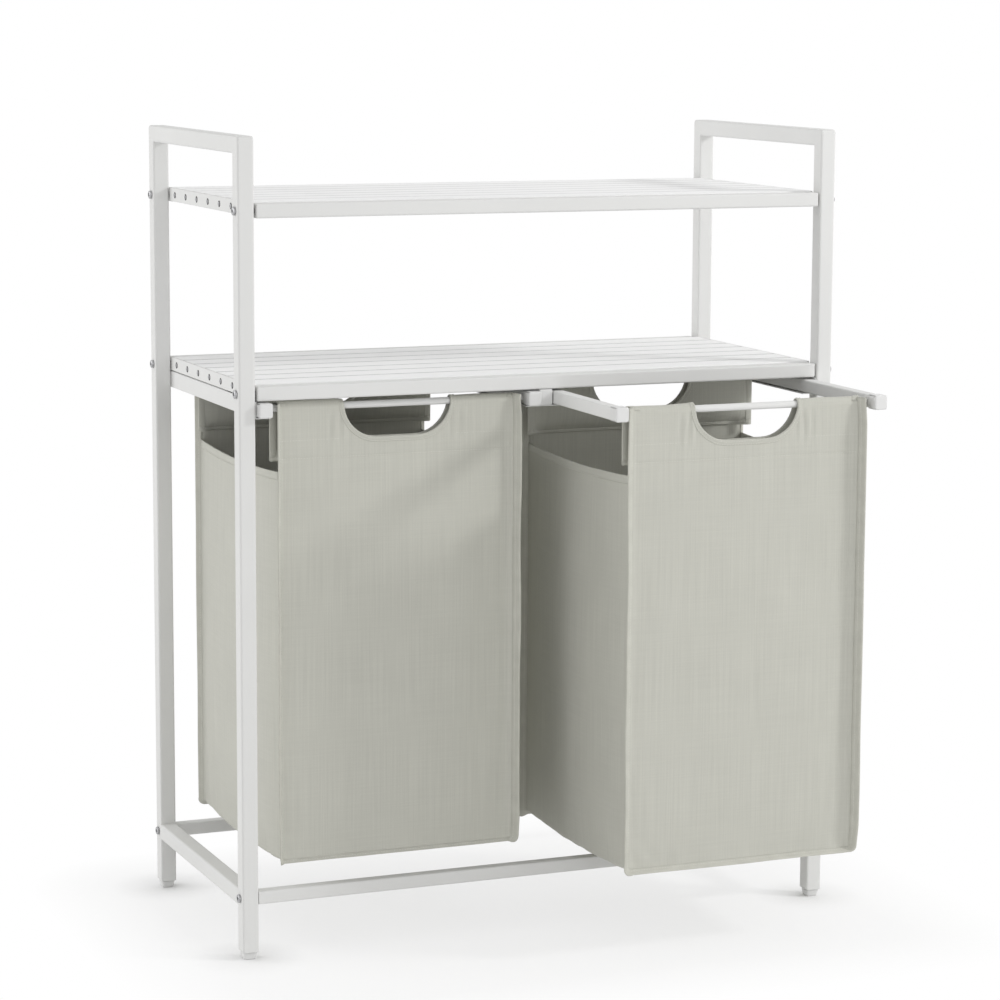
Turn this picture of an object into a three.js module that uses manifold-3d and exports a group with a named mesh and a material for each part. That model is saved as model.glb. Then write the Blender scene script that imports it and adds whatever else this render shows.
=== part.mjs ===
// Laundry hamper: a tube frame with two slatted shelves and two fabric bags that pull out on rails.
// Millimetres, +X to the right, +Y to the back, +Z up, standing on Z = 0.
// The origin is below the middle of the whole hamper with its right bag pulled out.

import * as THREE from 'three';
import { mergeVertices } from 'three/addons/utils/BufferGeometryUtils.js';
import Module from 'manifold-3d';

const wasm = await Module();
wasm.setup();

// Overall sizes of the frame
const frameWidth = 730;
const frameDepth = 340;
const frameHeight = 920;

// Clearances and cutters
const fitGap = 0.3;
const overrun = 6;

// Side frames: square tube welded into a closed loop on two legs
const tube = 19;
const tubeRound = 2;
const frameCornerRound = 3.5;
const sideBarBottom = 60.8;

// Glide feet pushed into the open ends of the legs
const footHeight = 8.5;
const footTop = 16.4;
const footTaperShare = 0.8;
const footRound = 3;
const footEdge = 1.2;
const footStem = 13;
const footStemLength = 12;

// Shelves
const upperShelfDrop = 72;
const shelfSpacing = 200;
const shelfTubeHeight = 16;
const shelfTubeDrop = 1;
const shelfTubeEndGap = 2.5;
const shelfTubeRound = 1.8;
const plateGauge = 1.4;
const plateLedge = 16;
const slatCount = 7;
const slatGap = 1.5;
const slatRound = 1.3;
const slatThickness = 14.2;

// Bottom cross rails
const bottomRailSide = 15;
const bottomRailEndGap = 0.6;

// Bolts through the legs
const boltHead = 9.6;
const boltHeadHeight = 2.8;
const boltHeadRound = 1.1;
const boltShank = 6;
const boltReach = 12;
const boltSocket = 4.6;
const boltSocketDepth = 1.6;

// Slide rails under the lower shelf
const railGauge = 1.2;
const railFlange = 15.8;
const railBend = 1.1;
const railSetback = 2;
const railStopLength = 2;
const centreRailWidth = 16;
const plugRound = 1.6;
const plugStem = 9;
const plugStemLength = 10;

// Bag carriers: two arms and two rods
const capWidth = 15.8;
const capHeight = 16.4;
const capLength = 18;
const capWall = 0.6;
const capFace = 1.6;
const capRound = 2.4;
const capEdge = 1.5;
const capProud = 8;
const armRound = 1.2;
const glideLength = 10;
const rodDiameter = 8;
const slideGap = 0.4;

// Fabric bags
const fabric = 2.4;
const bagSideGap = 7.6;
const bagSetback = 17;
const bagRearSpace = 39;
const bagBottomGap = 29.2;
const seamFlange = 6;
const bagCornerRound = 13;
const bagSideTopDrop = 78;
const bagSideSag = 5;
const sleeveDepth = 63;
const sleeveSeam = 4;
const handleWidth = 128;
const handleDepth = 43;
const handleRound = 40;

// Travel of the bags
const bagTravel = 210;
const rightBagOut = 165;

// Facets on round forms
const smallArcSteps = 1;
const largeArcSteps = 3;
const boltSides = 16;
const holeSides = 12;
const hexSides = 6;
const sagSteps = 8;

// Places worked out from the sizes above
const legInner = frameWidth / 2 - tube;
const legMiddleY = frameDepth / 2 - tube / 2;
const frontY = -frameDepth / 2;
const rearY = frameDepth / 2;
const tubeInnerY = frameDepth / 2 - tube;
const bottomLevel = sideBarBottom + tube / 2;
const upperShelfTop = frameHeight - upperShelfDrop;
const lowerShelfTop = upperShelfTop - shelfSpacing;
const slatWidth = (2 * tubeInnerY - (slatCount + 1) * slatGap) / slatCount;
const shelfTubeLength = 2 * (legInner - shelfTubeEndGap);
const railTop = lowerShelfTop - shelfTubeDrop - shelfTubeHeight - fitGap;
const railCeiling = railTop - railGauge;
const railFloor = railCeiling - capHeight - 2 * fitGap;
const railBottom = railFloor - railGauge;
const railOuter = legInner - fitGap;
const railFrontY = frontY + railSetback;
const railRearY = rearY - railSetback;
const railMiddleZ = (railFloor + railTop) / 2;
const bayOuter = railOuter - railGauge;
const bayInner = centreRailWidth / 2;
const bayMiddle = (bayOuter + bayInner) / 2;
const carrierHalf = (bayOuter - bayInner) / 2 - slideGap;
const armWidth = capWidth - 2 * (capWall + fitGap);
const armHeight = capHeight - 2 * (capWall + fitGap);
const armMiddleX = carrierHalf - capWidth / 2;
const armInner = armMiddleX - armWidth / 2;
const carrierZ = railFloor + fitGap + capHeight / 2;
const capFrontY = frontY - capProud;
const armFrontY = capFrontY + capFace + fitGap;
const armRearY = railRearY - railStopLength - slideGap;
const stopLip = capWall + fitGap;
const stopRearY = armRearY - glideLength - bagTravel - fitGap;
const stopFrontY = stopRearY - railStopLength;
const bagHalfWidth = armInner - bagSideGap;
const bagFrontY = capFrontY + bagSetback;
const bagRearY = rearY - bagRearSpace;
const bagDepth = bagRearY - bagFrontY;
const sleeveRadius = rodDiameter / 2 + fitGap + fabric;
const bagTop = carrierZ + sleeveRadius;
const bagBottom = bottomLevel + bottomRailSide / 2 + bagBottomGap;
const gussetHalfWidth = bagHalfWidth - seamFlange;
const gussetBottom = bagBottom + seamFlange;
const bagSideTop = bagTop - bagSideTopDrop;

// Materials
const whitePaint = new THREE.MeshStandardMaterial({ color: 0xe4e4e2, roughness: 0.42, metalness: 0 });
const whiteBoard = new THREE.MeshStandardMaterial({ color: 0xe9e9e8, roughness: 0.5, metalness: 0 });
const whitePlastic = new THREE.MeshStandardMaterial({ color: 0xeeeeec, roughness: 0.38, metalness: 0 });
const boltSteel = new THREE.MeshStandardMaterial({ color: 0xa9abad, roughness: 0.35, metalness: 1 });
const bagCloth = new THREE.MeshStandardMaterial({ color: 0xc2c1b6, roughness: 0.9, metalness: 0 });

// A profile is drawn flat and then turned: as (Y, Z) to run along X, or as (X, Z) to run along Y.
const runAlongX = new THREE.Matrix4().makeBasis(
  new THREE.Vector3(0, 1, 0),
  new THREE.Vector3(0, 0, 1),
  new THREE.Vector3(1, 0, 0),
);
const runAlongY = new THREE.Matrix4().makeBasis(
  new THREE.Vector3(1, 0, 0),
  new THREE.Vector3(0, 0, 1),
  new THREE.Vector3(0, -1, 0),
);
const runAlongZ = new THREE.Matrix4();

// Solid of a closed geometry, for joining and cutting
function solidOf(geometry) {
  const plain = geometry.clone();
  plain.deleteAttribute('normal');
  plain.deleteAttribute('uv');
  const merged = mergeVertices(plain);
  const corners = merged.index.array;
  const kept = [];
  for (let i = 0; i < corners.length; i += 3) {
    const [a, b, c] = corners.slice(i, i + 3);
    if (a !== b && b !== c && c !== a) {
      kept.push(a, b, c);
    }
  }
  return new wasm.Manifold(new wasm.Mesh({
    numProp: 3,
    vertProperties: new Float32Array(merged.attributes.position.array),
    triVerts: new Uint32Array(kept),
  }));
}

// Geometry of a solid
function geometryOf(solid) {
  const mesh = solid.getMesh();
  const geometry = new THREE.BufferGeometry();
  geometry.setAttribute('position', new THREE.BufferAttribute(mesh.vertProperties, 3));
  geometry.setIndex(new THREE.BufferAttribute(mesh.triVerts, 1));
  return geometry;
}

// Rectangle with rounded corners, centred on the origin
function roundedRectangle(width, height, radius) {
  const x = width / 2 - radius;
  const y = height / 2 - radius;
  const shape = new THREE.Shape();
  shape.absarc(x, -y, radius, -Math.PI / 2, 0);
  shape.absarc(x, y, radius, 0, Math.PI / 2);
  shape.absarc(-x, y, radius, Math.PI / 2, Math.PI);
  shape.absarc(-x, -y, radius, Math.PI, Math.PI * 1.5);
  shape.closePath();
  return shape;
}

// Profile run to a length, centred along it, with its end edges rounded where edgeRound is given
function extruded(shape, length, turn, edgeRound = 0, arcSteps = smallArcSteps) {
  const geometry = new THREE.ExtrudeGeometry(shape, {
    depth: length - 2 * edgeRound,
    bevelEnabled: edgeRound > 0,
    bevelThickness: edgeRound,
    bevelSize: edgeRound,
    bevelOffset: -edgeRound,
    bevelSegments: 2,
    curveSegments: arcSteps,
  });
  geometry.translate(0, 0, edgeRound - length / 2);
  return geometry.applyMatrix4(turn);
}

// Block from one corner to the other, used as a cutter or a small boss
function blockBetween(low, high) {
  const size = high.map((value, i) => value - low[i]);
  const geometry = new THREE.BoxGeometry(...size);
  geometry.translate(...low.map((value, i) => value + size[i] / 2));
  return solidOf(geometry);
}

// Round cutter along X through a leg or into the end of a tube
function boltHole(fromX, toX, y, z) {
  const radius = boltShank / 2 + fitGap;
  const geometry = new THREE.CylinderGeometry(radius, radius, toX - fromX, holeSides);
  geometry.rotateZ(Math.PI / 2);
  geometry.translate((fromX + toX) / 2, y, z);
  return solidOf(geometry);
}

const hamper = new THREE.Group();

// Adds a named mesh at a place
function place(parent, name, geometry, material, x = 0, y = 0, z = 0) {
  const mesh = new THREE.Mesh(geometry, material);
  mesh.name = name;
  mesh.position.set(x, y, z);
  parent.add(mesh);
  return mesh;
}

const sides = [['left', -1], ['right', 1]];
const ends = [['front', -1], ['rear', 1]];
const boltLevels = [
  ['upper', upperShelfTop - shelfTubeDrop - shelfTubeHeight / 2],
  ['lower', lowerShelfTop - shelfTubeDrop - shelfTubeHeight / 2],
  ['bottom', bottomLevel],
];

// Side frame: a closed loop whose top bar is the carrying handle, drawn as seen from the side
function sideFrameGeometry() {
  const outline = new THREE.Shape();
  outline.moveTo(frontY, footHeight);
  outline.lineTo(frontY + tube, footHeight);
  outline.lineTo(frontY + tube, sideBarBottom);
  outline.lineTo(rearY - tube, sideBarBottom);
  outline.lineTo(rearY - tube, footHeight);
  outline.lineTo(rearY, footHeight);
  const bendY = rearY - frameCornerRound;
  const bendZ = frameHeight - frameCornerRound;
  outline.absarc(bendY, bendZ, frameCornerRound, 0, Math.PI / 2);
  outline.absarc(-bendY, bendZ, frameCornerRound, Math.PI / 2, Math.PI);
  outline.closePath();

  const window = new THREE.Path();
  window.moveTo(frontY + tube, sideBarBottom + tube);
  window.lineTo(frontY + tube, frameHeight - tube);
  window.lineTo(rearY - tube, frameHeight - tube);
  window.lineTo(rearY - tube, sideBarBottom + tube);
  window.closePath();
  outline.holes.push(window);

  let solid = solidOf(extruded(outline, tube, runAlongX, tubeRound));
  for (const [, end] of ends) {
    const y = end * legMiddleY;
    for (const [, level] of boltLevels) {
      solid = solid.subtract(boltHole(-tube / 2 - overrun, tube / 2 + overrun, y, level));
    }
    const socket = footStem / 2 + fitGap;
    solid = solid.subtract(blockBetween(
      [-socket, y - socket, footHeight - overrun],
      [socket, y + socket, footHeight + footStemLength + fitGap],
    ));
  }
  return geometryOf(solid);
}

// Glide foot: a pad that narrows towards the floor, on a stem that sits inside the leg
function footGeometry() {
  const padHeight = footHeight - fitGap;
  const pad = extruded(roundedRectangle(footTop, footTop, footRound), padHeight, runAlongZ, footEdge, 2);
  const corners = pad.attributes.position;
  for (let i = 0; i < corners.count; i += 1) {
    const rise = corners.getZ(i) / padHeight + 1 / 2;
    const taper = THREE.MathUtils.lerp(footTaperShare, 1, rise);
    corners.setXY(i, corners.getX(i) * taper, corners.getY(i) * taper);
  }
  pad.translate(0, 0, padHeight / 2);
  const stem = blockBetween(
    [-footStem / 2, -footStem / 2, padHeight / 2],
    [footStem / 2, footStem / 2, footHeight + footStemLength],
  );
  return geometryOf(solidOf(pad).add(stem));
}

// Cross tube between the legs, with a hole in each end for its bolt
function crossTubeGeometry(depth, height, length, endRound) {
  let solid = solidOf(extruded(roundedRectangle(depth, height, shelfTubeRound), length, runAlongX, endRound));
  const holeDepth = boltReach + fitGap;
  solid = solid.subtract(boltHole(-length / 2 - overrun, -length / 2 + holeDepth, 0, 0));
  solid = solid.subtract(boltHole(length / 2 - holeDepth, length / 2 + overrun, 0, 0));
  return geometryOf(solid);
}

// End plate of a shelf: an angle whose ledge carries the ends of the slats
function endPlateGeometry() {
  const height = plateGauge + fitGap + slatThickness;
  const angle = new THREE.Shape();
  angle.moveTo(0, 0);
  angle.lineTo(plateLedge, 0);
  angle.lineTo(plateLedge, plateGauge);
  angle.lineTo(plateGauge, plateGauge);
  angle.lineTo(plateGauge, height);
  angle.lineTo(0, height);
  angle.closePath();
  return extruded(angle, 2 * (tubeInnerY - fitGap), runAlongY);
}

// Socket head bolt lying along X, its head outwards and its shank in the leg and the cross piece
function boltGeometry(shankLength) {
  const headRadius = boltHead / 2;
  const shankRadius = boltShank / 2;
  const profile = [
    new THREE.Vector2(0, -shankLength),
    new THREE.Vector2(shankRadius, -shankLength),
    new THREE.Vector2(shankRadius, 0),
    new THREE.Vector2(headRadius, 0),
    new THREE.Vector2(headRadius, boltHeadHeight - boltHeadRound),
    new THREE.Vector2(headRadius - boltHeadRound * (1 - Math.SQRT1_2),
      boltHeadHeight - boltHeadRound * (1 - Math.SQRT1_2)),
    new THREE.Vector2(headRadius - boltHeadRound, boltHeadHeight),
    new THREE.Vector2(0, boltHeadHeight),
  ];
  const socketHeight = boltSocketDepth + overrun;
  const socket = new THREE.CylinderGeometry(boltSocket / 2, boltSocket / 2, socketHeight, hexSides);
  socket.translate(0, boltHeadHeight - boltSocketDepth + socketHeight / 2, 0);
  const solid = solidOf(new THREE.LatheGeometry(profile, boltSides)).subtract(solidOf(socket));
  const geometry = geometryOf(solid);
  geometry.rotateZ(-Math.PI / 2);
  return geometry;
}

// Slide rail: a folded channel, or for the middle of the frame a box with a channel on each side.
// Its floor runs the whole depth. Its ceiling starts further back, at a lip that stops the arms.
function slideRailSolid(webLow, webHigh, flangeLow, flangeHigh) {
  const profile = new THREE.Shape();
  const bend = (x, z, start) => profile.absarc(x, z, railBend, start, start + Math.PI / 2);
  if (flangeLow === webLow) {
    bend(webLow + railBend, railTop - railBend, Math.PI / 2);
    bend(webLow + railBend, railBottom + railBend, Math.PI);
  } else {
    profile.moveTo(webLow, railCeiling);
    profile.lineTo(webLow, railFloor);
    profile.lineTo(flangeLow, railFloor);
    profile.lineTo(flangeLow, railBottom);
  }
  if (flangeHigh === webHigh) {
    bend(webHigh - railBend, railBottom + railBend, Math.PI * 1.5);
    bend(webHigh - railBend, railTop - railBend, 0);
  } else {
    profile.lineTo(flangeHigh, railBottom);
    profile.lineTo(flangeHigh, railFloor);
    profile.lineTo(webHigh, railFloor);
    profile.lineTo(webHigh, railCeiling);
    profile.lineTo(flangeHigh, railCeiling);
    profile.lineTo(flangeHigh, railTop);
  }
  if (flangeLow !== webLow) {
    profile.lineTo(flangeLow, railTop);
    profile.lineTo(flangeLow, railCeiling);
  }
  profile.closePath();

  let solid = solidOf(extruded(profile, railRearY - railFrontY, runAlongY));
  const channels = [[flangeLow, webLow, -overrun], [flangeHigh, webHigh, overrun]];
  for (const [tip, web, past] of channels.filter(([tipX, webX]) => tipX !== webX)) {
    const [inner, outer] = [web, tip].sort((a, b) => a - b);
    const [from, to] = [web, tip + past].sort((a, b) => a - b);
    solid = solid.subtract(blockBetween(
      [from, railFrontY - overrun, railCeiling],
      [to, stopFrontY, railTop + overrun],
    ));
    const frontStop = blockBetween(
      [inner, stopFrontY, railCeiling - stopLip],
      [outer, stopRearY, railTop],
    );
    const rearStop = blockBetween(
      [inner, railRearY - railStopLength, railBottom],
      [outer, railRearY, railTop],
    );
    solid = solid.add(frontStop).add(rearStop);
  }
  return solid;
}

// Centre rail, with a socket in its front end for the plug
function centreRailGeometry() {
  const rail = slideRailSolid(-bayInner, bayInner, -bayInner - railFlange, bayInner + railFlange);
  const socket = plugStem / 2 + fitGap;
  return geometryOf(rail.subtract(blockBetween(
    [-socket, railFrontY - overrun, railMiddleZ - socket],
    [socket, railFrontY + plugStemLength + fitGap, railMiddleZ + socket],
  )));
}

// Plug in the front end of the centre rail, flush with the front of the frame
function plugGeometry() {
  const thickness = railSetback - fitGap;
  const outline = roundedRectangle(centreRailWidth, railTop - railFloor, plugRound);
  const head = extruded(outline, thickness, runAlongY, thickness / 2);
  const stem = blockBetween(
    [-plugStem / 2, 0, -plugStem / 2],
    [plugStem / 2, thickness / 2 + fitGap + plugStemLength, plugStem / 2],
  );
  return geometryOf(solidOf(head).add(stem));
}

// Carrier arm: a tube along the rail, with a taller glide at its rear end that fills the channel
function armGeometry() {
  const length = armRearY - armFrontY;
  const beam = solidOf(extruded(roundedRectangle(armWidth, armHeight, armRound), length, runAlongY));
  const glide = extruded(roundedRectangle(capWidth, capHeight, armRound), glideLength, runAlongY, armRound);
  glide.translate(0, (length - glideLength) / 2, 0);
  return geometryOf(beam.add(solidOf(glide)));
}

// Moulded cap, open at the back, over the front end of an arm
function capGeometry() {
  const outline = roundedRectangle(capWidth, capHeight, capRound);
  const shell = solidOf(extruded(outline, capLength, runAlongY, capEdge, 2));
  const pocket = blockBetween(
    [-armWidth / 2 - fitGap, -capLength / 2 + capFace, -armHeight / 2 - fitGap],
    [armWidth / 2 + fitGap, capLength / 2 + overrun, armHeight / 2 + fitGap],
  );
  return geometryOf(shell.subtract(pocket));
}

// Rod that a bag hangs from, between the two arms
function rodGeometry() {
  const length = 2 * (armInner - fitGap);
  const geometry = new THREE.CylinderGeometry(rodDiameter / 2, rodDiameter / 2, length, holeSides);
  return geometry.rotateZ(Math.PI / 2);
}

// End panel of a bag, front or rear: its top is folded over the rod and sewn down as a sleeve,
// and a handle opening with round corners is cut through both layers just below the rod.
function endPanelSolid(outerY, inward) {
  const section = new THREE.Shape();
  const rodY = outerY + inward * sleeveRadius;
  const sleeveBottom = bagTop - sleeveDepth;
  const [startAngle, endAngle] = inward > 0 ? [Math.PI, 0] : [0, Math.PI];
  const clockwise = inward > 0;
  section.absarc(rodY, carrierZ, sleeveRadius, startAngle, endAngle, clockwise);
  section.lineTo(outerY + inward * 2 * fabric, sleeveBottom);
  section.lineTo(outerY + inward * fabric, sleeveBottom);
  section.lineTo(outerY + inward * fabric, bagBottom);
  section.lineTo(outerY, bagBottom);
  section.closePath();
  const channel = new THREE.Shape();
  channel.absarc(rodY, carrierZ, sleeveRadius - fabric, startAngle, endAngle, clockwise);
  channel.lineTo(outerY + inward * fabric, sleeveBottom + sleeveSeam);
  channel.closePath();
  const width = 2 * bagHalfWidth;
  const folded = solidOf(extruded(section, width, runAlongX, 0, largeArcSteps));
  const inside = solidOf(extruded(channel, width + overrun, runAlongX, 0, largeArcSteps));
  let solid = folded.subtract(inside);

  const cornerX = bagHalfWidth - bagCornerRound;
  const cornerZ = bagBottom + bagCornerRound;
  const outline = new THREE.Shape();
  outline.moveTo(bagHalfWidth, bagTop + overrun);
  outline.lineTo(-bagHalfWidth, bagTop + overrun);
  outline.absarc(-cornerX, cornerZ, bagCornerRound, Math.PI, Math.PI * 1.5);
  outline.absarc(cornerX, cornerZ, bagCornerRound, Math.PI * 1.5, Math.PI * 2);
  outline.closePath();
  const stencil = extruded(outline, 2 * frameDepth, runAlongY, 0, 2);
  solid = solid.intersect(solidOf(stencil));

  const handle = new THREE.Shape();
  const flat = handleWidth / 2 - handleRound;
  const handleBottom = bagTop - handleDepth;
  handle.moveTo(handleWidth / 2, bagTop + overrun);
  handle.lineTo(-handleWidth / 2, bagTop + overrun);
  handle.absarc(-flat, handleBottom + handleRound, handleRound, Math.PI, Math.PI * 1.5);
  handle.absarc(flat, handleBottom + handleRound, handleRound, Math.PI * 1.5, Math.PI * 2);
  handle.closePath();
  const cutter = extruded(handle, 2 * (sleeveRadius * 2 + overrun), runAlongY, 0, largeArcSteps);
  cutter.translate(0, rodY, 0);
  return solid.subtract(solidOf(cutter));
}

// Gusset of a bag: one strip down one side, under the bottom and up the other side
function gussetSolid() {
  const strip = new THREE.Shape();
  const trace = (path, half, bottom, round) => {
    path.moveTo(half, bagTop);
    path.lineTo(-half, bagTop);
    path.absarc(-half + round, bottom + round, round, Math.PI, Math.PI * 1.5);
    path.absarc(half - round, bottom + round, round, Math.PI * 1.5, Math.PI * 2);
    path.closePath();
  };
  const round = bagCornerRound - seamFlange;
  trace(strip, gussetHalfWidth, gussetBottom, round);
  const hollow = new THREE.Shape();
  trace(hollow, gussetHalfWidth - fabric, gussetBottom + fabric, round - fabric);
  const middleY = (bagFrontY + bagRearY) / 2;
  const length = bagDepth - fabric;
  const outer = extruded(strip, length, runAlongY, 0, 2);
  const inner = extruded(hollow, length + overrun, runAlongY, 0, 2);
  let solid = solidOf(outer).subtract(solidOf(inner));

  const above = new THREE.Shape();
  const reach = bagDepth / 2 + overrun;
  above.moveTo(-reach, bagTop + overrun);
  for (let i = 0; i <= sagSteps; i += 1) {
    const along = 2 * i / sagSteps - 1;
    above.lineTo(along * reach, bagSideTop - bagSideSag * (1 - along * along));
  }
  above.lineTo(reach, bagTop + overrun);
  above.closePath();
  solid = solid.subtract(solidOf(extruded(above, frameWidth, runAlongX)));
  return solid.translate(0, middleY, 0);
}

function bagGeometry() {
  const front = endPanelSolid(bagFrontY, 1);
  const rear = endPanelSolid(bagRearY, -1);
  return geometryOf(gussetSolid().add(front).add(rear));
}

// Side frames and feet
for (const [side, sign] of sides) {
  const x = sign * (frameWidth / 2 - tube / 2);
  place(hamper, `${side}_side_frame`, sideFrameGeometry(), whitePaint, x);
  for (const [end, way] of ends) {
    place(hamper, `${end}_${side}_foot`, footGeometry(), whitePlastic, x, way * legMiddleY);
  }
}

// Shelves: front and rear tubes, an end plate at each side and the slats between them
for (const [level, top] of [['upper', upperShelfTop], ['lower', lowerShelfTop]]) {
  const tubeZ = top - shelfTubeDrop - shelfTubeHeight / 2;
  for (const [end, way] of ends) {
    const geometry = crossTubeGeometry(tube, shelfTubeHeight, shelfTubeLength, armRound);
    place(hamper, `${level}_shelf_${end}_tube`, geometry, whitePaint, 0, way * legMiddleY, tubeZ);
  }
  const plateZ = top - slatThickness - fitGap - plateGauge;
  for (const [side, sign] of sides) {
    const plate = place(hamper, `${level}_shelf_${side}_plate`, endPlateGeometry(), whitePaint);
    plate.position.set(sign * (legInner - fitGap), 0, plateZ);
    plate.rotation.z = sign > 0 ? Math.PI : 0;
  }
  const slatLength = 2 * (legInner - 2 * fitGap - plateGauge);
  for (let i = 0; i < slatCount; i += 1) {
    const y = (i - (slatCount - 1) / 2) * (slatWidth + slatGap);
    const geometry = extruded(roundedRectangle(slatWidth, slatThickness, slatRound), slatLength, runAlongX);
    place(hamper, `${level}_shelf_slat_${i + 1}`, geometry, whiteBoard, 0, y, top - slatThickness / 2);
  }
}

// Bottom cross rails
for (const [end, way] of ends) {
  const length = 2 * (legInner - bottomRailEndGap);
  const geometry = crossTubeGeometry(bottomRailSide, bottomRailSide, length, 0);
  place(hamper, `bottom_${end}_rail`, geometry, whitePaint, 0, way * legMiddleY, bottomLevel);
}

// Bolts
for (const [level, z] of boltLevels) {
  const endGap = level === 'bottom' ? bottomRailEndGap : shelfTubeEndGap;
  const shankLength = tube + fitGap + endGap + boltReach;
  for (const [side, sign] of sides) {
    for (const [end, way] of ends) {
      const bolt = place(hamper, `${level}_${end}_${side}_bolt`, boltGeometry(shankLength), boltSteel);
      bolt.position.set(sign * (frameWidth / 2 + fitGap), way * legMiddleY, z);
      bolt.rotation.z = sign > 0 ? 0 : Math.PI;
    }
  }
}

// Slide rails
const leftRail = slideRailSolid(-railOuter, -bayOuter, -railOuter, -bayOuter + railFlange);
const rightRail = slideRailSolid(bayOuter, railOuter, bayOuter - railFlange, railOuter);
place(hamper, 'left_slide_rail', geometryOf(leftRail), whitePaint);
place(hamper, 'right_slide_rail', geometryOf(rightRail), whitePaint);
place(hamper, 'centre_slide_rail', centreRailGeometry(), whitePaint);
const plugY = frontY + (railSetback - fitGap) / 2;
place(hamper, 'centre_rail_plug', plugGeometry(), whitePlastic, 0, plugY, railMiddleZ);

// Bags on their carriers
for (const [side, sign] of sides) {
  const carrier = new THREE.Group();
  carrier.position.set(sign * bayMiddle, sign > 0 ? -rightBagOut : 0, 0);
  hamper.add(carrier);
  for (const [hand, way] of sides) {
    const x = way * armMiddleX;
    const armY = (armFrontY + armRearY) / 2;
    place(carrier, `${side}_bag_${hand}_arm`, armGeometry(), whitePaint, x, armY, carrierZ);
    const capY = capFrontY + capLength / 2;
    place(carrier, `${side}_bag_${hand}_cap`, capGeometry(), whitePlastic, x, capY, carrierZ);
  }
  place(carrier, `${side}_bag_front_rod`, rodGeometry(), whitePaint, 0, bagFrontY + sleeveRadius, carrierZ);
  place(carrier, `${side}_bag_rear_rod`, rodGeometry(), whitePaint, 0, bagRearY - sleeveRadius, carrierZ);
  place(carrier, `${side}_bag_fabric`, bagGeometry(), bagCloth);
}

// The origin moves from the middle of the frame to the middle of the frame and the open bag
hamper.position.y = (capProud + rightBagOut) / 2;

export default hamper;
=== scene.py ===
import math

import bmesh
import bpy
from mathutils import Matrix, Vector, noise


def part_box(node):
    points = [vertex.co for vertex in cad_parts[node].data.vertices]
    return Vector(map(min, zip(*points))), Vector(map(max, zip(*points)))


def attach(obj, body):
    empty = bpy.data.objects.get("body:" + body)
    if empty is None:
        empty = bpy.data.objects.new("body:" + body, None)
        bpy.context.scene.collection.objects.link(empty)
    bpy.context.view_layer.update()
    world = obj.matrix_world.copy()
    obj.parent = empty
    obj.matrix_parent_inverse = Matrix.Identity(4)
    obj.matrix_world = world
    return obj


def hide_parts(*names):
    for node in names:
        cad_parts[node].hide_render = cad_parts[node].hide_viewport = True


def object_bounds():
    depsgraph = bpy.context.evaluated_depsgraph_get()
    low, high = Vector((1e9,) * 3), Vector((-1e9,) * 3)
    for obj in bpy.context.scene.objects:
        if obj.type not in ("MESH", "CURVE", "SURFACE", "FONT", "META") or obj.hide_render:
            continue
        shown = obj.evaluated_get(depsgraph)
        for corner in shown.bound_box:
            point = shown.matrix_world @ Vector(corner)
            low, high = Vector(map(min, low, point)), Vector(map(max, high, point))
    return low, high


bl_info = {
    "name": "Laundry Hamper",
    "version": (1, 0, 0),
    "blender": (4, 5, 0),
    "location": "3D View > Sidebar > Hamper",
    "description": "Paints the tube frame, fits its screws, sews the two bags and lights the studio",
    "category": "Object",
}

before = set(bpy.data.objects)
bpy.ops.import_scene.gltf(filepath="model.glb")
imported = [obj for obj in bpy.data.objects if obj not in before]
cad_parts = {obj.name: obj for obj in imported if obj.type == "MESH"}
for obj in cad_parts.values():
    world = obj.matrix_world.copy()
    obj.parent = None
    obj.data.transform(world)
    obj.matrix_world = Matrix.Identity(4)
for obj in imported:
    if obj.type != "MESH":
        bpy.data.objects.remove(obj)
CAD_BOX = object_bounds()

BAGS = ("left", "right")
ENDS = ("front", "rear")
SIDEWAYS = Vector((1.0, 0.0, 0.0))
UP = Vector((0.0, 0.0, 1.0))

# How each upright seam stands out, by bag, end and side: degrees away from the bag's side,
# share of the tape's width, and how far the panel's rim curls out with it.
UPRIGHT_SEAMS = {
    ("left", "front", "left"): (60.0, 1.0, 0.0), ("left", "front", "right"): (60.0, 1.3, 0.0030),
    ("right", "front", "left"): (34.0, 1.0, 0.0), ("right", "front", "right"): (60.0, 1.3, 0.0036),
    ("right", "rear", "left"): (10.0, 1.45, 0.0),
}
PLAIN_SEAM = (44.0, 1.0, 0.0)

# The same for the seam under each end panel, in degrees away from straight down.
LOWER_SEAMS = {("left", "front"): (-15.0, 0.62), ("right", "front"): (52.0, 0.9)}
PLAIN_LOWER = (40.0, 0.9)

# How far each bag's bottom is let down from where its seam tape just reaches the CAD's bottom.
BASE_DROPS = {"left": 0.003, "right": 0.008}

# Where each bag's cloth starts in the noise that makes it uneven.
SEEDS = {"left": 3.1, "right": 11.7}

# Rows of the panels' mesh near the sleeve's seam, as heights over it.
NEAR_LINE = (-0.006, -0.003, -0.0014, 0.0, 0.0014, 0.003, 0.006)
OVER_LINE = 0.0085

# How far under the sleeve's seam the layer behind the rod ends.
HEM_DROP = 0.0028

# How much cloth the fold over the rod takes up in the UV map.
FOLD_LENGTH = 0.018

# Beyond this distance from the middle the layer behind the rod grows wider.
WIDER_FROM = 0.092

# How loosely the fold lies over the rod.
ROD_PLAY = 0.0004

# How finely the cloth is meshed: rows of a panel under its sleeve and up the sleeve, steps round the fold,
# steps of a line across a panel, and steps of the gusset up a side, round a corner and to the middle.
PANEL_ROWS, SLEEVE_ROWS, FOLD_STEPS, LINE_STEPS = 56, 12, 12, 90
GUSSET_STEPS = (70, 6, 22)

# Angles round a corner of the handle opening.
CORNER_TURNS = [math.radians(9.0 * k) for k in range(1, 11)]

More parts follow.
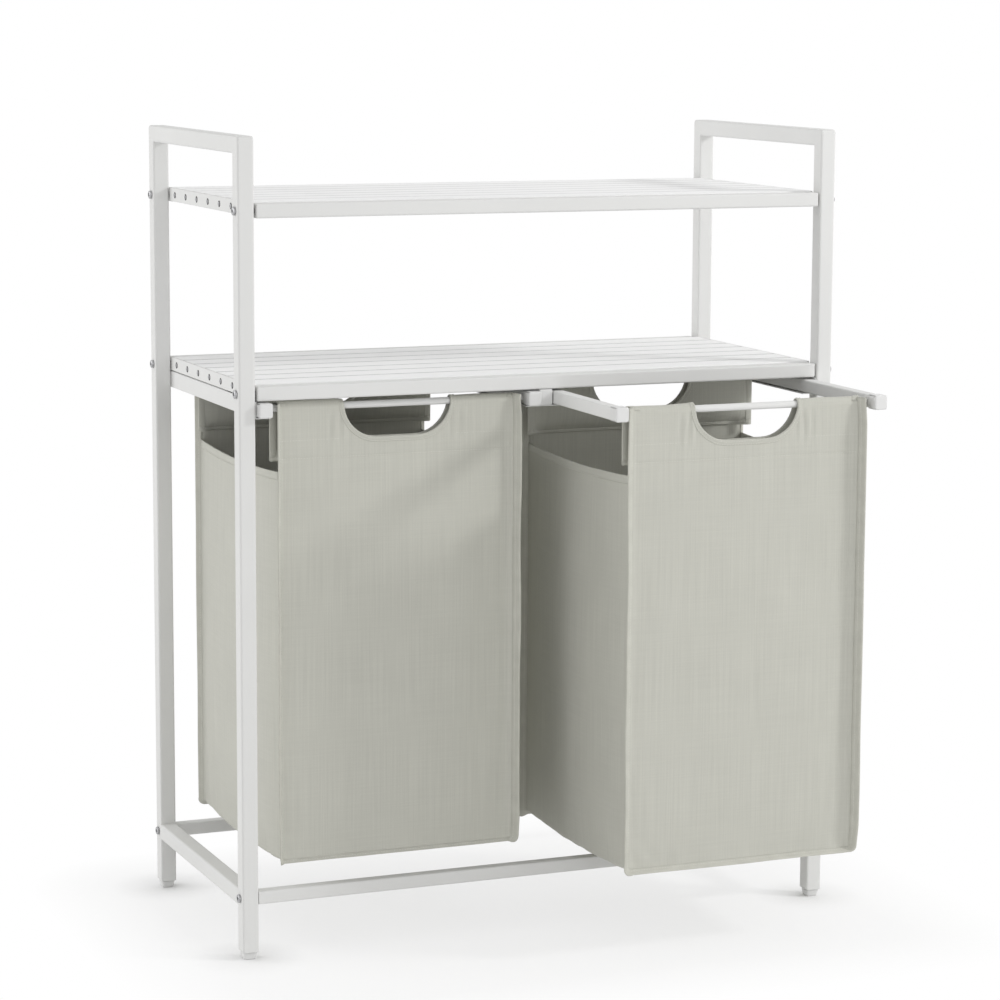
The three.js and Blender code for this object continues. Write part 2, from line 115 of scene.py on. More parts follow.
# Half the cross-section of a bound seam: share of the tape's width and of its thickness.
TAPE_SHAPE = ((-0.12, 0.22), (0.04, 0.56), (0.15, 0.62), (0.27, 0.46), (0.5, 0.42), (0.82, 0.5), (0.96, 0.32))

# From one rib of the seam tape to the next, how far under the bag's top the tape ends,
# and the steps of its mesh and of the stitches along it.
RIB_PITCH = 0.0007
TAPE_END = 0.0012
TAPE_STEP = 0.0042
TAPE_STITCH_STEP = 0.006

# Width and thickness of the sleeve's hem, of its sides and of the sides' top hems,
# with the corners of the cross-section and how square it is.
SLEEVE_HEM = (0.0068, 0.0024)
SLEEVE_SIDE = (0.0084, 0.0025, 10, 0.45)
SIDE_HEM = (0.0094, 0.0023, 10, 0.45)

# Share of a stitch's length that its thread shows, and how deep the screws' seats sit in the plates.
THREAD_SHARE = 0.8
SEAT_SINK = 0.0001

# The range in which most values of a noise texture lie.
MOST = (0.3, 0.7)

# Width and place of each lamp, and the spot in the hamper's middle that they all face.
LAMPS = {
    "left_lamp": (3.2, (-4.8, 2.3, 1.75)),
    "right_lamp": (0.55, (2.43, -1.51, 2.1)),
    "front_lamp": (2.0, (0.9, -3.6, 1.0)),
}
LAMPS_FACE = Vector((0.0, 0.0, 0.45))

# How sharply the contact shadow darkens towards the feet.
CONTACT_POWER = 5.0

# Width of the camera's sensor in mm, how far the floor reaches from the middle in metres,
# and how far outside the hamper it starts to fade.
SENSOR_WIDTH = 36.0
FLOOR_REACH = 8
FADE_FROM = 0.02


def length(name, text, value):
    return bpy.props.FloatProperty(name=name, description=text, default=value, min=0.0, unit="LENGTH",
                                   precision=5)


def share(name, text, value):
    return bpy.props.FloatProperty(name=name, description=text, default=value, min=0.0, max=1.0,
                                   subtype="FACTOR")


def amount(name, text, value):
    return bpy.props.FloatProperty(name=name, description=text, default=value, min=0.0)


def degrees(name, text, value):
    return bpy.props.FloatProperty(name=name, description=text, default=math.radians(value), subtype="ANGLE")


def colour(name, text, value):
    return bpy.props.FloatVectorProperty(name=name, description=text, default=value, size=3,
                                         min=0.0, max=1.0, subtype="COLOR")


class HamperFinish(bpy.types.PropertyGroup):
    """Colours and small sizes of the hard pieces"""

    paint: colour("Frame paint", "Powder coat on the tubes, plates and rails", (0.768, 0.768, 0.756))
    board: colour("Slat paint", "Paint on the slats", (0.95, 0.95, 0.948))
    plastic: colour("Mouldings", "Feet, caps and plug", (0.74, 0.74, 0.732))
    zinc: colour("Bolts", "Zinc plated bolts", (0.44, 0.44, 0.45))
    screw: colour("Screws", "Screws in the shelf end plates", (0.38, 0.38, 0.39))
    # Near-black painted shadow: it colours the seat ring round each screw head and the floor of its recess.
    screw_painted_shadow: colour("Screw seats", "Blackened seats under the screws", (0.03, 0.03, 0.03))
    screw_head: length("Screw head", "Diameter of a screw head", 0.0048)
    screw_ring: length("Screw seat width", "Diameter of the seat round a screw head", 0.0074)
    screw_height: length("Screw height", "How far a screw head stands out of the plate", 0.0011)
    screw_recess: share("Screw recess", "Width of the recess as a share of the head", 0.45)
    screw_below_top: length("Screw drop", "From the top of a slat down to its screw", 0.0083)


class HamperBags(bpy.types.PropertyGroup):
    """Sizes and colours of the sewn bags"""

    cloth: colour("Cloth", "Woven cloth of the panels", (0.560, 0.558, 0.500))
    tape: colour("Seam tape", "Tape that binds the seams", (0.560, 0.557, 0.498))
    thread: colour("Thread", "Sewing thread", (0.68, 0.675, 0.62))
    thickness: length("Cloth thickness", "Thickness of one layer", 0.0012)
    yarn: length("Yarn pitch", "From one yarn to the next", 0.0009)
    tape_width: length("Tape width", "How far the bound seam stands out", 0.0086)
    tape_thickness: length("Tape thickness", "Thickness of the bound seam", 0.0024)
    seam_corner: length("Corner", "Radius of the seam at the bottom corners", 0.0035)
    sleeve_line: length("Sleeve seam", "From the top of the bag down to the seam of the sleeve", 0.0632)
    sleeve_overlap: length("Sleeve overlap", "How far the layer behind the rod is wider at each side", 0.0075)
    second_line: length("Second seam", "From the top of the bag down to the short seams", 0.0430)
    handle_width: length("Handle width", "Width of the handle opening", 0.128)
    handle_depth: length("Handle depth", "From the top of the bag down to the opening's edge", 0.043)
    handle_corner: length("Handle corner", "Radius of the opening's corners", 0.040)
    side_drop: length("Side drop", "From the top of the bag down to the top of its sides", 0.0775)
    side_sag: length("Side sag", "How far a side's top edge hangs between the seams", 0.005)
    bulge: length("Side bulge", "How far a side swells outwards", 0.0052)
    base_sag: length("Base sag", "How far the bottom hangs between its long edges", 0.0042)
    edge_sag: length("Edge sag", "How far the bottom's long edges hang between the seams", 0.0075)
    stitch: length("Stitch", "From one stitch to the next", 0.0032)
    thread_width: length("Thread width", "Diameter of the thread", 0.0006)


class HamperStage(bpy.types.PropertyGroup):
    """Camera, lamps and floor"""

    eye: bpy.props.FloatVectorProperty(name="Eye", description="Where the camera stands", size=3,
                                       default=(-1.4246, -3.3917, 1.0592), subtype="TRANSLATION",
                                       unit="LENGTH")
    turn: degrees("Turn", "Direction of view from straight ahead", 22.473)
    dip: degrees("Dip", "How far the view points down", 8.774)
    roll: degrees("Roll", "Tilt of the picture", 0.2815)
    lens: amount("Lens", "Focal length in mm", 115.03)
    room: amount("Room light", "Even light from all round", 0.71)
    left_lamp: amount("Left lamp", "Large lamp at the left, in W", 74.0)
    right_lamp: amount("Right lamp", "Smaller lamp at the front right, in W", 33.0)
    front_lamp: amount("Front lamp", "Large weak lamp in front, in W", 10.0)
    floor: colour("Floor", "Colour of the floor", (0.92, 0.92, 0.92))
    floor_lift: share("Floor lift", "Share of plain white that the camera sees in the floor", 0.7)
    floor_fade: length("Floor fade", "How far outside the hamper the floor turns plain white", 0.15)
    floor_contact: length("Contact shadow", "How far a contact shadow reaches", 0.06)


class Nodes:
    """Short ways to add nodes to a tree. An input is given as a number or as another node's output."""

    def __init__(self, tree):
        self.tree = tree

    def feed(self, socket, value):
        if isinstance(value, bpy.types.NodeSocket):
            self.tree.links.new(value, socket)
        else:
            socket.default_value = value

    def add(self, kind, inputs, **settings):
        """Adds a node and returns its outputs."""
        node = self.tree.nodes.new(kind)
        for name, value in settings.items():
            setattr(node, name, value)
        for name, value in inputs.items():
            self.feed(node.inputs[name], value)
        return node.outputs

    def maths(self, operation, first, *others):
        """One value changed by an operation, or several joined by it from left to right."""
        if not others:
            return self.add("ShaderNodeMath", {0: first}, operation=operation)[0]
        for value in others:
            first = self.add("ShaderNodeMath", {0: first, 1: value}, operation=operation)[0]
        return first

    def times(self, *values):
        return self.maths("MULTIPLY", *values)

    def ranged(self, source, low, high, start=0.0, end=1.0):
        """Maps start to low and end to high, and holds the value there beyond them."""
        return self.add("ShaderNodeMapRange", {"Value": source, "From Min": start, "From Max": end,
                                               "To Min": low, "To Max": high})["Result"]

    def raised(self, height, strength, distance, **below):
        """A bumped normal, over the flat one or over another one given as Normal."""
        return self.add("ShaderNodeBump", {"Height": height, "Strength": strength, "Distance": distance,
                                           **below})["Normal"]

    def softened(self, radius):
        """The normal with every edge rounded off."""
        return self.add("ShaderNodeBevel", {"Radius": radius}, samples=4)["Normal"]

    def wear(self, soft):
        """1 where a softened normal turns away at an edge, and 0 on flat faces."""
        plain = self.add("ShaderNodeNewGeometry", {})["True Normal"]
        turned = self.add("ShaderNodeVectorMath", {0: soft, 1: plain}, operation="DOT_PRODUCT")["Value"]
        return self.ranged(turned, 1.0, 0.0, 0.72, 0.99)

    def seen_directly(self):
        """1 for what the camera, a reflection or a clear material sees, and 0 for light itself."""
        path = self.add("ShaderNodeLightPath", {})
        rays = [path[f"Is {kind} Ray"] for kind in ("Camera", "Glossy", "Transmission")]
        return self.maths("MAXIMUM", *rays)


class Paint(Nodes):
    """A new material with one tint, which varies over the surface."""

    def __init__(self, name, tint, values, space="Object"):
        self.material = bpy.data.materials.new(name)
        self.material.use_nodes = True
        self.material.diffuse_color = (*tint, 1.0)
        super().__init__(self.material.node_tree)
        self.tint = tint
        self.shader = self.tree.nodes["Principled BSDF"]
        for socket, value in {"Base Color": (*tint, 1.0), **values}.items():
            self.feed(self.shader.inputs[socket], value)
        self.place = self.add("ShaderNodeTexCoord", {})[space]

    def speckle(self, scale, detail=2.0, rough=0.5, stretch=None):
        """Noise over the surface, made finer along each axis by a factor of its own."""
        place = self.place
        if stretch:
            place = self.add("ShaderNodeMapping", {"Vector": place, "Scale": stretch})["Vector"]
        return self.add("ShaderNodeTexNoise", {"Vector": place, "Scale": scale, "Detail": detail,
                                               "Roughness": rough})["Fac"]

    def finished(self, shade, roughness, normal):
        """The material, with its tint made lighter or darker by a shade."""
        tint = self.add("ShaderNodeVectorMath", {0: self.tint, "Scale": shade}, operation="SCALE")["Vector"]
        for socket, value in (("Base Color", tint), ("Roughness", roughness), ("Normal", normal)):
            self.feed(self.shader.inputs[socket], value)
        return self.material


def powder_coat(tint):
    """Satin powder coat: fine orange peel, slow changes of shade, thinner and smoother on the edges."""
    coat = Paint("white_powder_coat", tint, {"Roughness": 0.6, "Specular IOR Level": 0.008})
    slow = coat.speckle(7.0, 3.0)
    peel = coat.speckle(900.0)
    soft = coat.softened(0.0011)
    worn = coat.wear(soft)
    shade = coat.times(coat.ranged(slow, 0.978, 1.012, *MOST), coat.ranged(worn, 1.0, 1.035))
    roughness = coat.maths("SUBTRACT", coat.ranged(slow, 0.56, 0.66), coat.times(worn, 0.08))
    return coat.finished(shade, roughness, coat.raised(peel, 0.25, 0.00012, Normal=soft))


def slat_paint(tint, boxes):
    """Painted board: faint grain along the slat, a shade of its own for each slat, and painted shade along
    the gaps between slats.

    The front edge of the first slat has no gap before it and gets no painted shade.
    """
    paint = Paint("white_slat_paint", tint, {"Roughness": 0.5, "Specular IOR Level": 0.05})
    (first_low, first_high), (second_low, _) = boxes
    pitch = second_low[1] - first_low[1]
    apart = paint.add("ShaderNodeSeparateXYZ", {0: paint.place})
    across = paint.maths("DIVIDE", paint.maths("SUBTRACT", apart["Y"], first_low[1]), pitch)
    row = paint.maths("FLOOR", across)
    level = paint.maths("FLOOR", paint.times(apart["Z"], 4.0))
    number = paint.maths("ADD", row, paint.times(level, 17.0))
    draw = paint.add("ShaderNodeTexWhiteNoise", {"W": number}, noise_dimensions="1D")["Value"]
    grain = paint.speckle(9.0, 4.0, 0.6, (1.2, 55.0, 55.0))
    fine = paint.speckle(1100.0)
    half = (first_high[1] - first_low[1]) / pitch / 2.0
    # Distance from a slat's middle, for the painted shade along the gaps; 0 on the front half of the first
    # slat, which gets none.
    from_middle = paint.maths("ABSOLUTE", paint.maths("SUBTRACT", paint.maths("FRACT", across), half))
    from_middle = paint.times(from_middle, paint.maths("GREATER_THAN", across, 0.5))
    # Painted shade: each slat is darkened towards its long edges, to 0.45 of its tint at the gaps.
    shade = paint.times(paint.ranged(draw, 0.985, 1.0), paint.ranged(grain, 0.985, 1.01, *MOST),
                        paint.ranged(from_middle, 1.0, 0.45, half - 0.045, half - 0.01))
    height = paint.maths("ADD", paint.times(grain, 0.7), paint.times(fine, 0.3))
    return paint.finished(shade, paint.ranged(grain, 0.46, 0.58, *MOST),
                          paint.raised(height, 0.22, 0.00025, Normal=paint.softened(0.0009)))


def moulded_plastic(tint):
    """Moulded plastic with a fine spark texture and polished edges."""
    plastic = Paint("white_moulded_plastic", tint, {"Roughness": 0.36})
    spark = plastic.speckle(2600.0)
    flow = plastic.speckle(60.0)
    soft = plastic.softened(0.0012)
    polish = plastic.times(plastic.wear(soft), 0.1)
    return plastic.finished(plastic.ranged(flow, 0.985, 1.01, *MOST),
                            plastic.maths("SUBTRACT", plastic.ranged(flow, 0.34, 0.44), polish),
                            plastic.raised(spark, 0.2, 0.0001, Normal=soft))


def plated_steel(name, tint, roughness, metallic=1.0, gloss=0.5):
    """Plated steel: cloudy plating with fine turning marks."""
    steel = Paint(name, tint, {"Roughness": roughness, "Metallic": metallic, "Specular IOR Level": gloss})
    cloud = steel.speckle(320.0, 3.0)
    marks = steel.speckle(1.0, stretch=(6000.0, 300.0, 300.0))
    soft = steel.softened(0.0006)
    shade = steel.maths("ADD", steel.ranged(cloud, 0.82, 1.08, *MOST), steel.times(steel.wear(soft), 0.25))
    return steel.finished(shade, steel.ranged(cloud, roughness - 0.06, roughness + 0.1, *MOST),
                          steel.raised(marks, 0.2, 0.0001, Normal=soft))


def weave(cloth, pitch):
    """Height of a plain weave, 0 to 1, over a UV map in metres."""
    apart = cloth.add("ShaderNodeSeparateXYZ", {0: cloth.place})
    waves = [cloth.maths("SINE", cloth.times(apart[axis], math.pi / pitch)) for axis in "XY"]
    warp, weft = [cloth.maths("ABSOLUTE", wave) for wave in waves]
    over = cloth.maths("GREATER_THAN", cloth.times(*waves), 0.0)
    return cloth.maths("ADD", weft, cloth.times(cloth.maths("SUBTRACT", warp, weft), over))


def bag_cloth(name, tint, pitch, slub):
    """Linen-like cloth: plain weave with thick and thin yarns, more of them upright than level."""
    cloth = Paint(name, tint, {"Roughness": 0.92, "Specular IOR Level": 0.25, "Sheen Weight": 0.12,
                               "Sheen Roughness": 0.6}, "UV")
    cross = weave(cloth, pitch)
    upright = cloth.speckle(1.0, 2.0, 0.6, (620.0, 8.0, 1.0))
    level = cloth.speckle(1.0, 2.0, 0.6, (11.0, 620.0, 1.0))
    broad = cloth.speckle(14.0)
    shade = cloth.times(cloth.ranged(upright, 1.0 - 0.05 * slub, 1.0 + 0.04 * slub, 0.28, 0.72),
                        cloth.ranged(level, 1.0 - 0.022 * slub, 1.0 + 0.02 * slub, 0.28, 0.72),
                        cloth.ranged(cross, 0.93, 1.04), cloth.ranged(broad, 0.982, 1.014, *MOST))
    slubs = cloth.maths("ADD", cloth.times(upright, 0.6), cloth.times(level, 0.3))
    height = cloth.maths("ADD", cloth.times(cross, 0.55), slubs)
    return cloth.finished(shade, cloth.ranged(cross, 0.97, 0.84), cloth.raised(height, 0.5, 0.0003))


def seam_tape(tint, width):
    """Ribbed tape: cross ribs, with painted shade darkening its root and a painted highlight making its tip
    paler.

    Its UV map runs along the seam in Y, and in X from -1 at the root to 1 at the tip.
    """
    tape = Paint("seam_tape", tint, {"Roughness": 0.9, "Specular IOR Level": 0.25, "Sheen Weight": 0.1}, "UV")
    apart = tape.add("ShaderNodeSeparateXYZ", {0: tape.place})
    ribs = tape.maths("ABSOLUTE", tape.maths("SINE", tape.times(apart["Y"], math.pi / RIB_PITCH)))
    patch = tape.speckle(1.0, 3.0, stretch=(width * 40.0, 60.0, 1.0))
    # Painted shade: the tape is made darker at its root, in the crease where it meets the panel.
    root_shade = tape.ranged(apart["X"], 0.92, 1.0, -0.9, -0.5)
    # Painted highlight: the tape is made paler towards its folded tip.
    fold = tape.ranged(apart["X"], 1.0, 1.06, 0.6, 0.98)
    shade = tape.times(root_shade, fold, tape.ranged(patch, 0.95, 1.04, *MOST), tape.ranged(ribs, 0.93, 1.03))
    return tape.finished(shade, tape.ranged(ribs, 0.95, 0.84), tape.raised(ribs, 0.4, 0.0002))


def sewing_thread(tint):
    thread = Paint("sewing_thread", tint, {"Roughness": 0.7, "Sheen Weight": 0.15})
    twist = thread.speckle(2400.0)
    return thread.finished(thread.ranged(twist, 0.88, 1.08, *MOST), thread.ranged(twist, 0.62, 0.8),
                           thread.raised(twist, 0.3, 0.0001))


def put(name, data):
    """A new object in the scene."""
    item = bpy.data.objects.new(name, data)
    bpy.context.scene.collection.objects.link(item)
    return item


def finish(material, *names):
    """Gives CAD nodes a material through their own slots."""
    for name in names:
        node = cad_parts[name]
        if not node.material_slots:
            node.data.materials.append(material)
        for own in node.material_slots:
            own.material = material


def nodes_like(*endings):
    return [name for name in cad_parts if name.endswith(endings)]


def spread(start, end, count):
    return [start + (end - start) * i / count for i in range(count + 1)]


def travelled(points):
    """How far along a line each of its points lies."""
    marks = [0.0]
    for before, after in zip(points, points[1:]):
        marks.append(marks[-1] + math.dist(before, after))
    return marks


def oval(width, height, steps=8, corner=0.6):
    """Rounded cross-section, squarer than an ellipse."""
    points = []
    for i in range(steps):
        turn = 2.0 * math.pi * (i + 0.5) / steps
        c, s = math.cos(turn), math.sin(turn)
        points.append((width / 2 * math.copysign(abs(c) ** corner, c),
                       height / 2 * math.copysign(abs(s) ** corner, s)))
    return points


def ripple(x, y, z):
    return noise.noise(Vector((x, y, z)))


def bell(distance, width):
    return math.exp(-(distance / width) ** 2)


def taper(distance, reach):
    """1 at a seam, falling to 0 where the distance from it comes to the reach."""
    return max(0.0, 1.0 - distance / reach) ** 2


def held(value):
    return min(1.0, max(0.0, value))


def ease(value):
    value = held(value)
    return value * value * (3.0 - 2.0 * value)


class Pile:
    """Sheets and swept strips gathered into one mesh, with a UV map."""

    def __init__(self):
        self.corners = []
        self.faces = []
        self.maps = []

    def face(self, picks, coords):
        self.faces.append(tuple(picks))
        self.maps.extend(coords)

    def sheet(self, rows, coords):
        """Quads between rows of points. A missing point leaves a hole."""
        numbers = []
        for row in rows:
            line = []
            for point in row:
                line.append(None if point is None else len(self.corners))
                if point is not None:
                    self.corners.append(tuple(point))
            numbers.append(line)
        for i in range(len(rows) - 1):
            for j in range(len(rows[i]) - 1):
                spots = ((i, j), (i + 1, j), (i + 1, j + 1), (i, j + 1))
                picks = [numbers[a][b] for a, b in spots]
                if None not in picks:
                    self.face(picks, [coords[a][b] for a, b in spots])

    def strip(self, path, axes, section, across=None):
        """A closed cross-section carried along a path, each step with its own pair of axes."""
        count = len(section)
        marks = travelled(path)
        across = across or [a for a, _ in section]
        rings = []
        for point, (first, second) in zip(path, axes):
            rings.append(range(len(self.corners), len(self.corners) + count))
            for a, b in section:
                self.corners.append(tuple(point + first * a + second * b))
        for i in range(len(path) - 1):
            for k in range(count):
                spots = ((i, k), (i + 1, k), (i + 1, (k + 1) % count), (i, (k + 1) % count))
                self.face([rings[a][b] for a, b in spots], [(across[b], marks[a]) for a, b in spots])
        self.face(rings[0], [(value, marks[0]) for value in across])
        self.face(reversed(rings[-1]), [(value, marks[-1]) for value in reversed(across)])

    def build(self, name, material, body, wall=0.0):
        mesh = bpy.data.meshes.new(name)
        mesh.from_pydata(self.corners, [], self.faces)
        layer = mesh.uv_layers.new(name="cloth")
        for loop, uv in zip(layer.data, self.maps):
            loop.uv = uv
        work = bmesh.new()
        work.from_mesh(mesh)
        bmesh.ops.recalc_face_normals(work, faces=work.faces)
        work.to_mesh(mesh)
        work.free()
        mesh.shade_smooth()
        mesh.materials.append(material)
        piece = put(name, mesh)
        if wall:
            shell = piece.modifiers.new("cloth thickness", "SOLIDIFY")
            shell.thickness = wall
            shell.offset = 0.0
            shell.use_even_offset = True
            shell.use_rim = True
        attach(piece, body)
        return piece


class BagShape:
    """Where the cloth of one bag lies. x is measured from the bag's middle, z from the floor,
    and depth inwards from the front or rear face."""

    def __init__(self, side):
        size = bpy.context.scene.hamper_bags
        low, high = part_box(f"{side}_bag_fabric")
        rod_low, rod_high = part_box(f"{side}_bag_front_rod")
        reach = size.tape_width * math.sqrt(0.5)
        self.size = size
        self.side = side
        self.body = f"{side}_bag"
        self.seed = SEEDS[side]
        self.middle = (low[0] + high[0]) / 2
        self.front, self.rear, self.top = low[1], high[1], high[2]
        self.rod_z = (rod_low[2] + rod_high[2]) / 2
        self.rod = (rod_high[2] - rod_low[2]) / 2
        self.rod_depth = (rod_low[1] + rod_high[1]) / 2 - low[1]
        self.seam = (high[0] - low[0]) / 2 - reach
        self.base = low[2] + reach - BASE_DROPS[side]
        self.skin = size.thickness / 2
        self.line = self.top - size.sleeve_line
        self.half_handle = size.handle_width / 2
        self.shoulder = self.top - size.handle_depth + size.handle_corner

    def at(self, end, x, depth, z):
        y = self.front + depth if end == "front" else self.rear - depth
        return Vector((self.middle + x, y, z))

    def opening(self, x):
        """Height of the handle opening's edge over x."""
        corner = self.size.handle_corner
        over = max(0.0, abs(x) - (self.half_handle - corner))
        return self.shoulder - math.sqrt(max(0.0, corner ** 2 - over ** 2))

    def crest(self, end, x):
        """Height of the fold over the rod's middle: it lies on the rod and lifts here and there."""
        uneven = ripple(x * 26.0, self.seed, 4.0 if end == "front" else 9.0)
        lift = 0.0013 * held(0.5 + 0.9 * uneven)
        if self.side == "left" and end == "front":
            lift += ease((-0.062 - x) / 0.012) * (0.0021 + 0.0005 * ripple(x * 55.0, 2.0, self.seed))
        return self.rod + self.skin + ROD_PLAY + lift

    def relief(self, end, x, z):
        """How far the outer layer stands out of its plane: slack, soft folds and puckers at the seams."""
        seed = self.seed + (0.0 if end == "front" else 5.0)
        to_seam, to_base, to_line = self.seam - abs(x), z - self.base, z - self.line
        to_corner = math.hypot(to_seam, to_base)
        to_second_line = z - (self.top - self.size.second_line)
        wide = max(0.0, 1.0 - (x / self.seam) ** 2)
        belly = 0.0022 * wide * math.sin(math.pi * held(to_base / (self.rod_z - self.base)) ** 0.8)
        slack = 0.0016 * wide * ripple(x * 9.0, z * 6.0, seed)
        folds = 0.0006 * ripple(x * 34.0, z * 7.0, seed + 2.0) * min(1.0, wide * 4.0)
        seam_pucker = 0.0006 * ripple(x * 20.0, z * 95.0, seed + 3.0) * bell(to_seam - 0.006, 0.010)
        base_pucker = 0.0007 * ripple(x * 80.0, z * 30.0, seed + 4.0) * bell(to_base - 0.008, 0.012)
        corner_pucker = 0.0016 * ripple((x + z) * 48.0, (x - z) * 18.0, seed + 6.0)
        corner_pucker *= bell(to_corner - 0.016, 0.022)
        gather = 0.0014 * bell(abs(x) - 0.074, 0.012) * ease((to_line - 0.006) / 0.030)
        gather *= math.sin(x * 620.0 + seed + 2.0 * ripple(x * 30.0, z * 30.0, seed))
        line_dent = 0.0005 * bell(to_line, 0.0022)
        second_dent = 0.0004 * bell(to_second_line, 0.002) * ease((abs(x) - 0.064) / 0.004)
        out = belly + slack + folds + seam_pucker + base_pucker + corner_pucker + gather
        out -= line_dent + second_dent
        rim = 0.0011 * taper(to_seam, 0.006) + 0.0012 * taper(to_base, 0.009)
        rim += self.curl(end, x, z) * taper(to_seam, 0.011)
        return out * ease((self.rod_z + 0.003 - z) / 0.022) * ease((to_seam - 0.0006) / 0.006) + rim

    def upright_seam(self, end, x):
        return UPRIGHT_SEAMS.get((self.side, end, "left" if x < 0.0 else "right"), PLAIN_SEAM)

    def curl(self, end, x, z):
        """How far a panel's rim curls out at its upright seam, between the bottom corner and the rod."""
        between = ease((z - self.base) / 0.03) * ease((self.rod_z + 0.003 - z) / 0.03)
        return self.upright_seam(end, x)[2] * between

    def half_round(self, end, x, z):
        """How wide the fold still is over the rod's middle, from 1 there to 0 at its crest."""
        rise = min(1.0, (z - self.rod_z) / self.crest(end, x))
        return math.sqrt(1.0 - rise * rise)

    def outer(self, end, x, z, off=0.0):
        """Point on the outer layer, or some distance outside it."""
        depth = self.skin
        if z > self.rod_z:
            depth = self.rod_depth - (self.rod_depth - self.skin) * self.half_round(end, x, z)
        return self.at(end, x, depth - self.relief(end, x, z) - off, z)

    def inner_depth(self, end, x, z):
        """Depth of the layer behind the rod, from the top of the fold down to its hem."""
        full = 2.0 * self.rod_depth - self.skin
        near = 3.0 * self.skin + 0.0001
        near += (full - near) * ease((abs(x) - self.seam + 0.022) / 0.018)
        if z > self.rod_z:
            return self.rod_depth + (full - self.rod_depth) * self.half_round(end, x, z)
        share_up = (z - self.line) / (self.rod_z - self.line)
        free = ease((self.seam - abs(x)) / 0.012)
        if share_up <= 0.0:
            return near - self.relief(end, x, z) * free
        uneven = ripple(x * 13.0, z * 16.0, self.seed + 20.0)
        slack = math.sin(math.pi * share_up) * (0.0012 + 0.0011 * uneven)
        turn_in = (1.0 - min(1.0, share_up)) ** 7
        return full + (near - full) * turn_in + (slack - self.relief(end, x, z) * turn_in) * free

    def inner(self, end, x, z, off=0.0):
        """Point on the layer behind the rod, or some distance inside it."""
        return self.at(end, self.behind(x, 1.0), self.inner_depth(end, x, z) + off, z)

    def fold(self, end, x, turn):
        """Point on the fold over the rod, with the turn 0 at the outer layer and pi at the inner one,
        and the way out of the fold there."""
        depth = self.rod_depth - (self.rod_depth - self.skin) * math.cos(turn)
        height = self.rod_z + self.crest(end, x) * math.sin(turn)
        point = self.at(end, self.behind(x, turn / math.pi), depth, height)
        return point, (point - self.at(end, x, self.rod_depth, self.rod_z)).normalized()

    def fold_turns(self, end, x, steps):
        """Turns round the fold, from the shoulder of the handle opening to the layer behind."""
        start = math.asin(min(1.0, (self.shoulder - self.rod_z) / self.crest(end, x)))
        return spread(start, math.pi, steps)[1:-1]

    def behind(self, x, share_back):
        """x on the layer behind the rod, which is cut wider than the outer layer at its sides."""
        outwards = ease((abs(x) - WIDER_FROM) / (self.seam - WIDER_FROM))
        return x + math.copysign(self.size.sleeve_overlap * ease(share_back) * outwards, x)

    def floor_line(self, x):
        """Bottom edge of an end panel, round at its corners."""
        corner = self.size.seam_corner
        over = abs(x) - (self.seam - corner)
        if over <= 0.0:
            return self.base
        return self.base + corner - math.sqrt(max(0.0, corner ** 2 - min(over, corner) ** 2))

    def columns(self):
        """x of every column of an end panel's mesh."""
        corner = self.size.handle_corner
        flat = self.half_handle - corner
        right = spread(0.0, flat, 9)
        right += [flat + corner * math.sin(turn) for turn in CORNER_TURNS]
        right += spread(self.half_handle, self.seam - 0.009, 22)[1:]
        right += [self.seam - inset for inset in (0.0065, 0.0045, 0.003, 0.0018, 0.0009, 0.0)]
        return [-x for x in reversed(right[1:])] + right

    def sew(self, pile, piece, material, wall=0.0):
        return pile.build(f"{self.side}_bag_{piece}", bpy.data.materials[material], self.body, wall)

    def end_panel(self, end):
        """Front or rear panel: up the outside, over the rod and down again inside, as one sheet."""
        pile = Pile()
        rows, coords = [], []
        gap = self.line - 0.011
        for x in self.columns():
            low = self.floor_line(x)
            open_top = abs(x) < self.half_handle - 1e-6
            edge = self.opening(x) if open_top else self.shoulder
            head = edge if open_top else self.rod_z
            heights = [low + (gap - low) * t for t in (0.0, 0.003, 0.008, 0.016, 0.027, 0.042)]
            heights += spread(low + (gap - low) * 0.06, gap, PANEL_ROWS)
            heights += [self.line + step for step in NEAR_LINE]
            heights += spread(self.line + OVER_LINE, edge, SLEEVE_ROWS)
            points = [self.outer(end, x, z) for z in heights]
            marks = [(x, z) for z in heights]
            for k, turn in enumerate(self.fold_turns(end, x, FOLD_STEPS), 1):
                points.append(None if open_top else self.fold(end, x, turn)[0])
                marks.append((x, self.shoulder + FOLD_LENGTH * k / FOLD_STEPS))
            behind = spread(head, self.line + OVER_LINE, SLEEVE_ROWS)
            behind += [self.line + step for step in reversed(NEAR_LINE[2:])] + [self.line - HEM_DROP]
            points += [self.inner(end, x, z) for z in behind]
            marks += [(x, self.shoulder + FOLD_LENGTH + (self.rod_z - z)) for z in behind]
            rows.append(points)
            coords.append(marks)
        pile.sheet(rows, coords)
        return self.sew(pile, f"{end}_panel", "bag_cloth", self.size.thickness)

    def hoop(self, top, upright_steps, corner_steps, level_steps):
        """A line down one side, under the bag and up the other side, as (x, z, outward x, outward z)."""
        corner = self.size.seam_corner
        right = [(self.seam, z, 1.0, 0.0) for z in spread(top, self.base + corner, upright_steps)]
        for k in range(1, corner_steps):
            c, s = math.cos(math.pi / 2 * k / corner_steps), math.sin(math.pi / 2 * k / corner_steps)
            right.append((self.seam - corner * (1.0 - c), self.base + corner * (1.0 - s), c, -s))
        right += [(x, self.base, 0.0, -1.0) for x in spread(self.seam - corner, 0.0, level_steps)]
        return [(-x, z, -out, down) for x, z, out, down in right] + right[-2::-1]

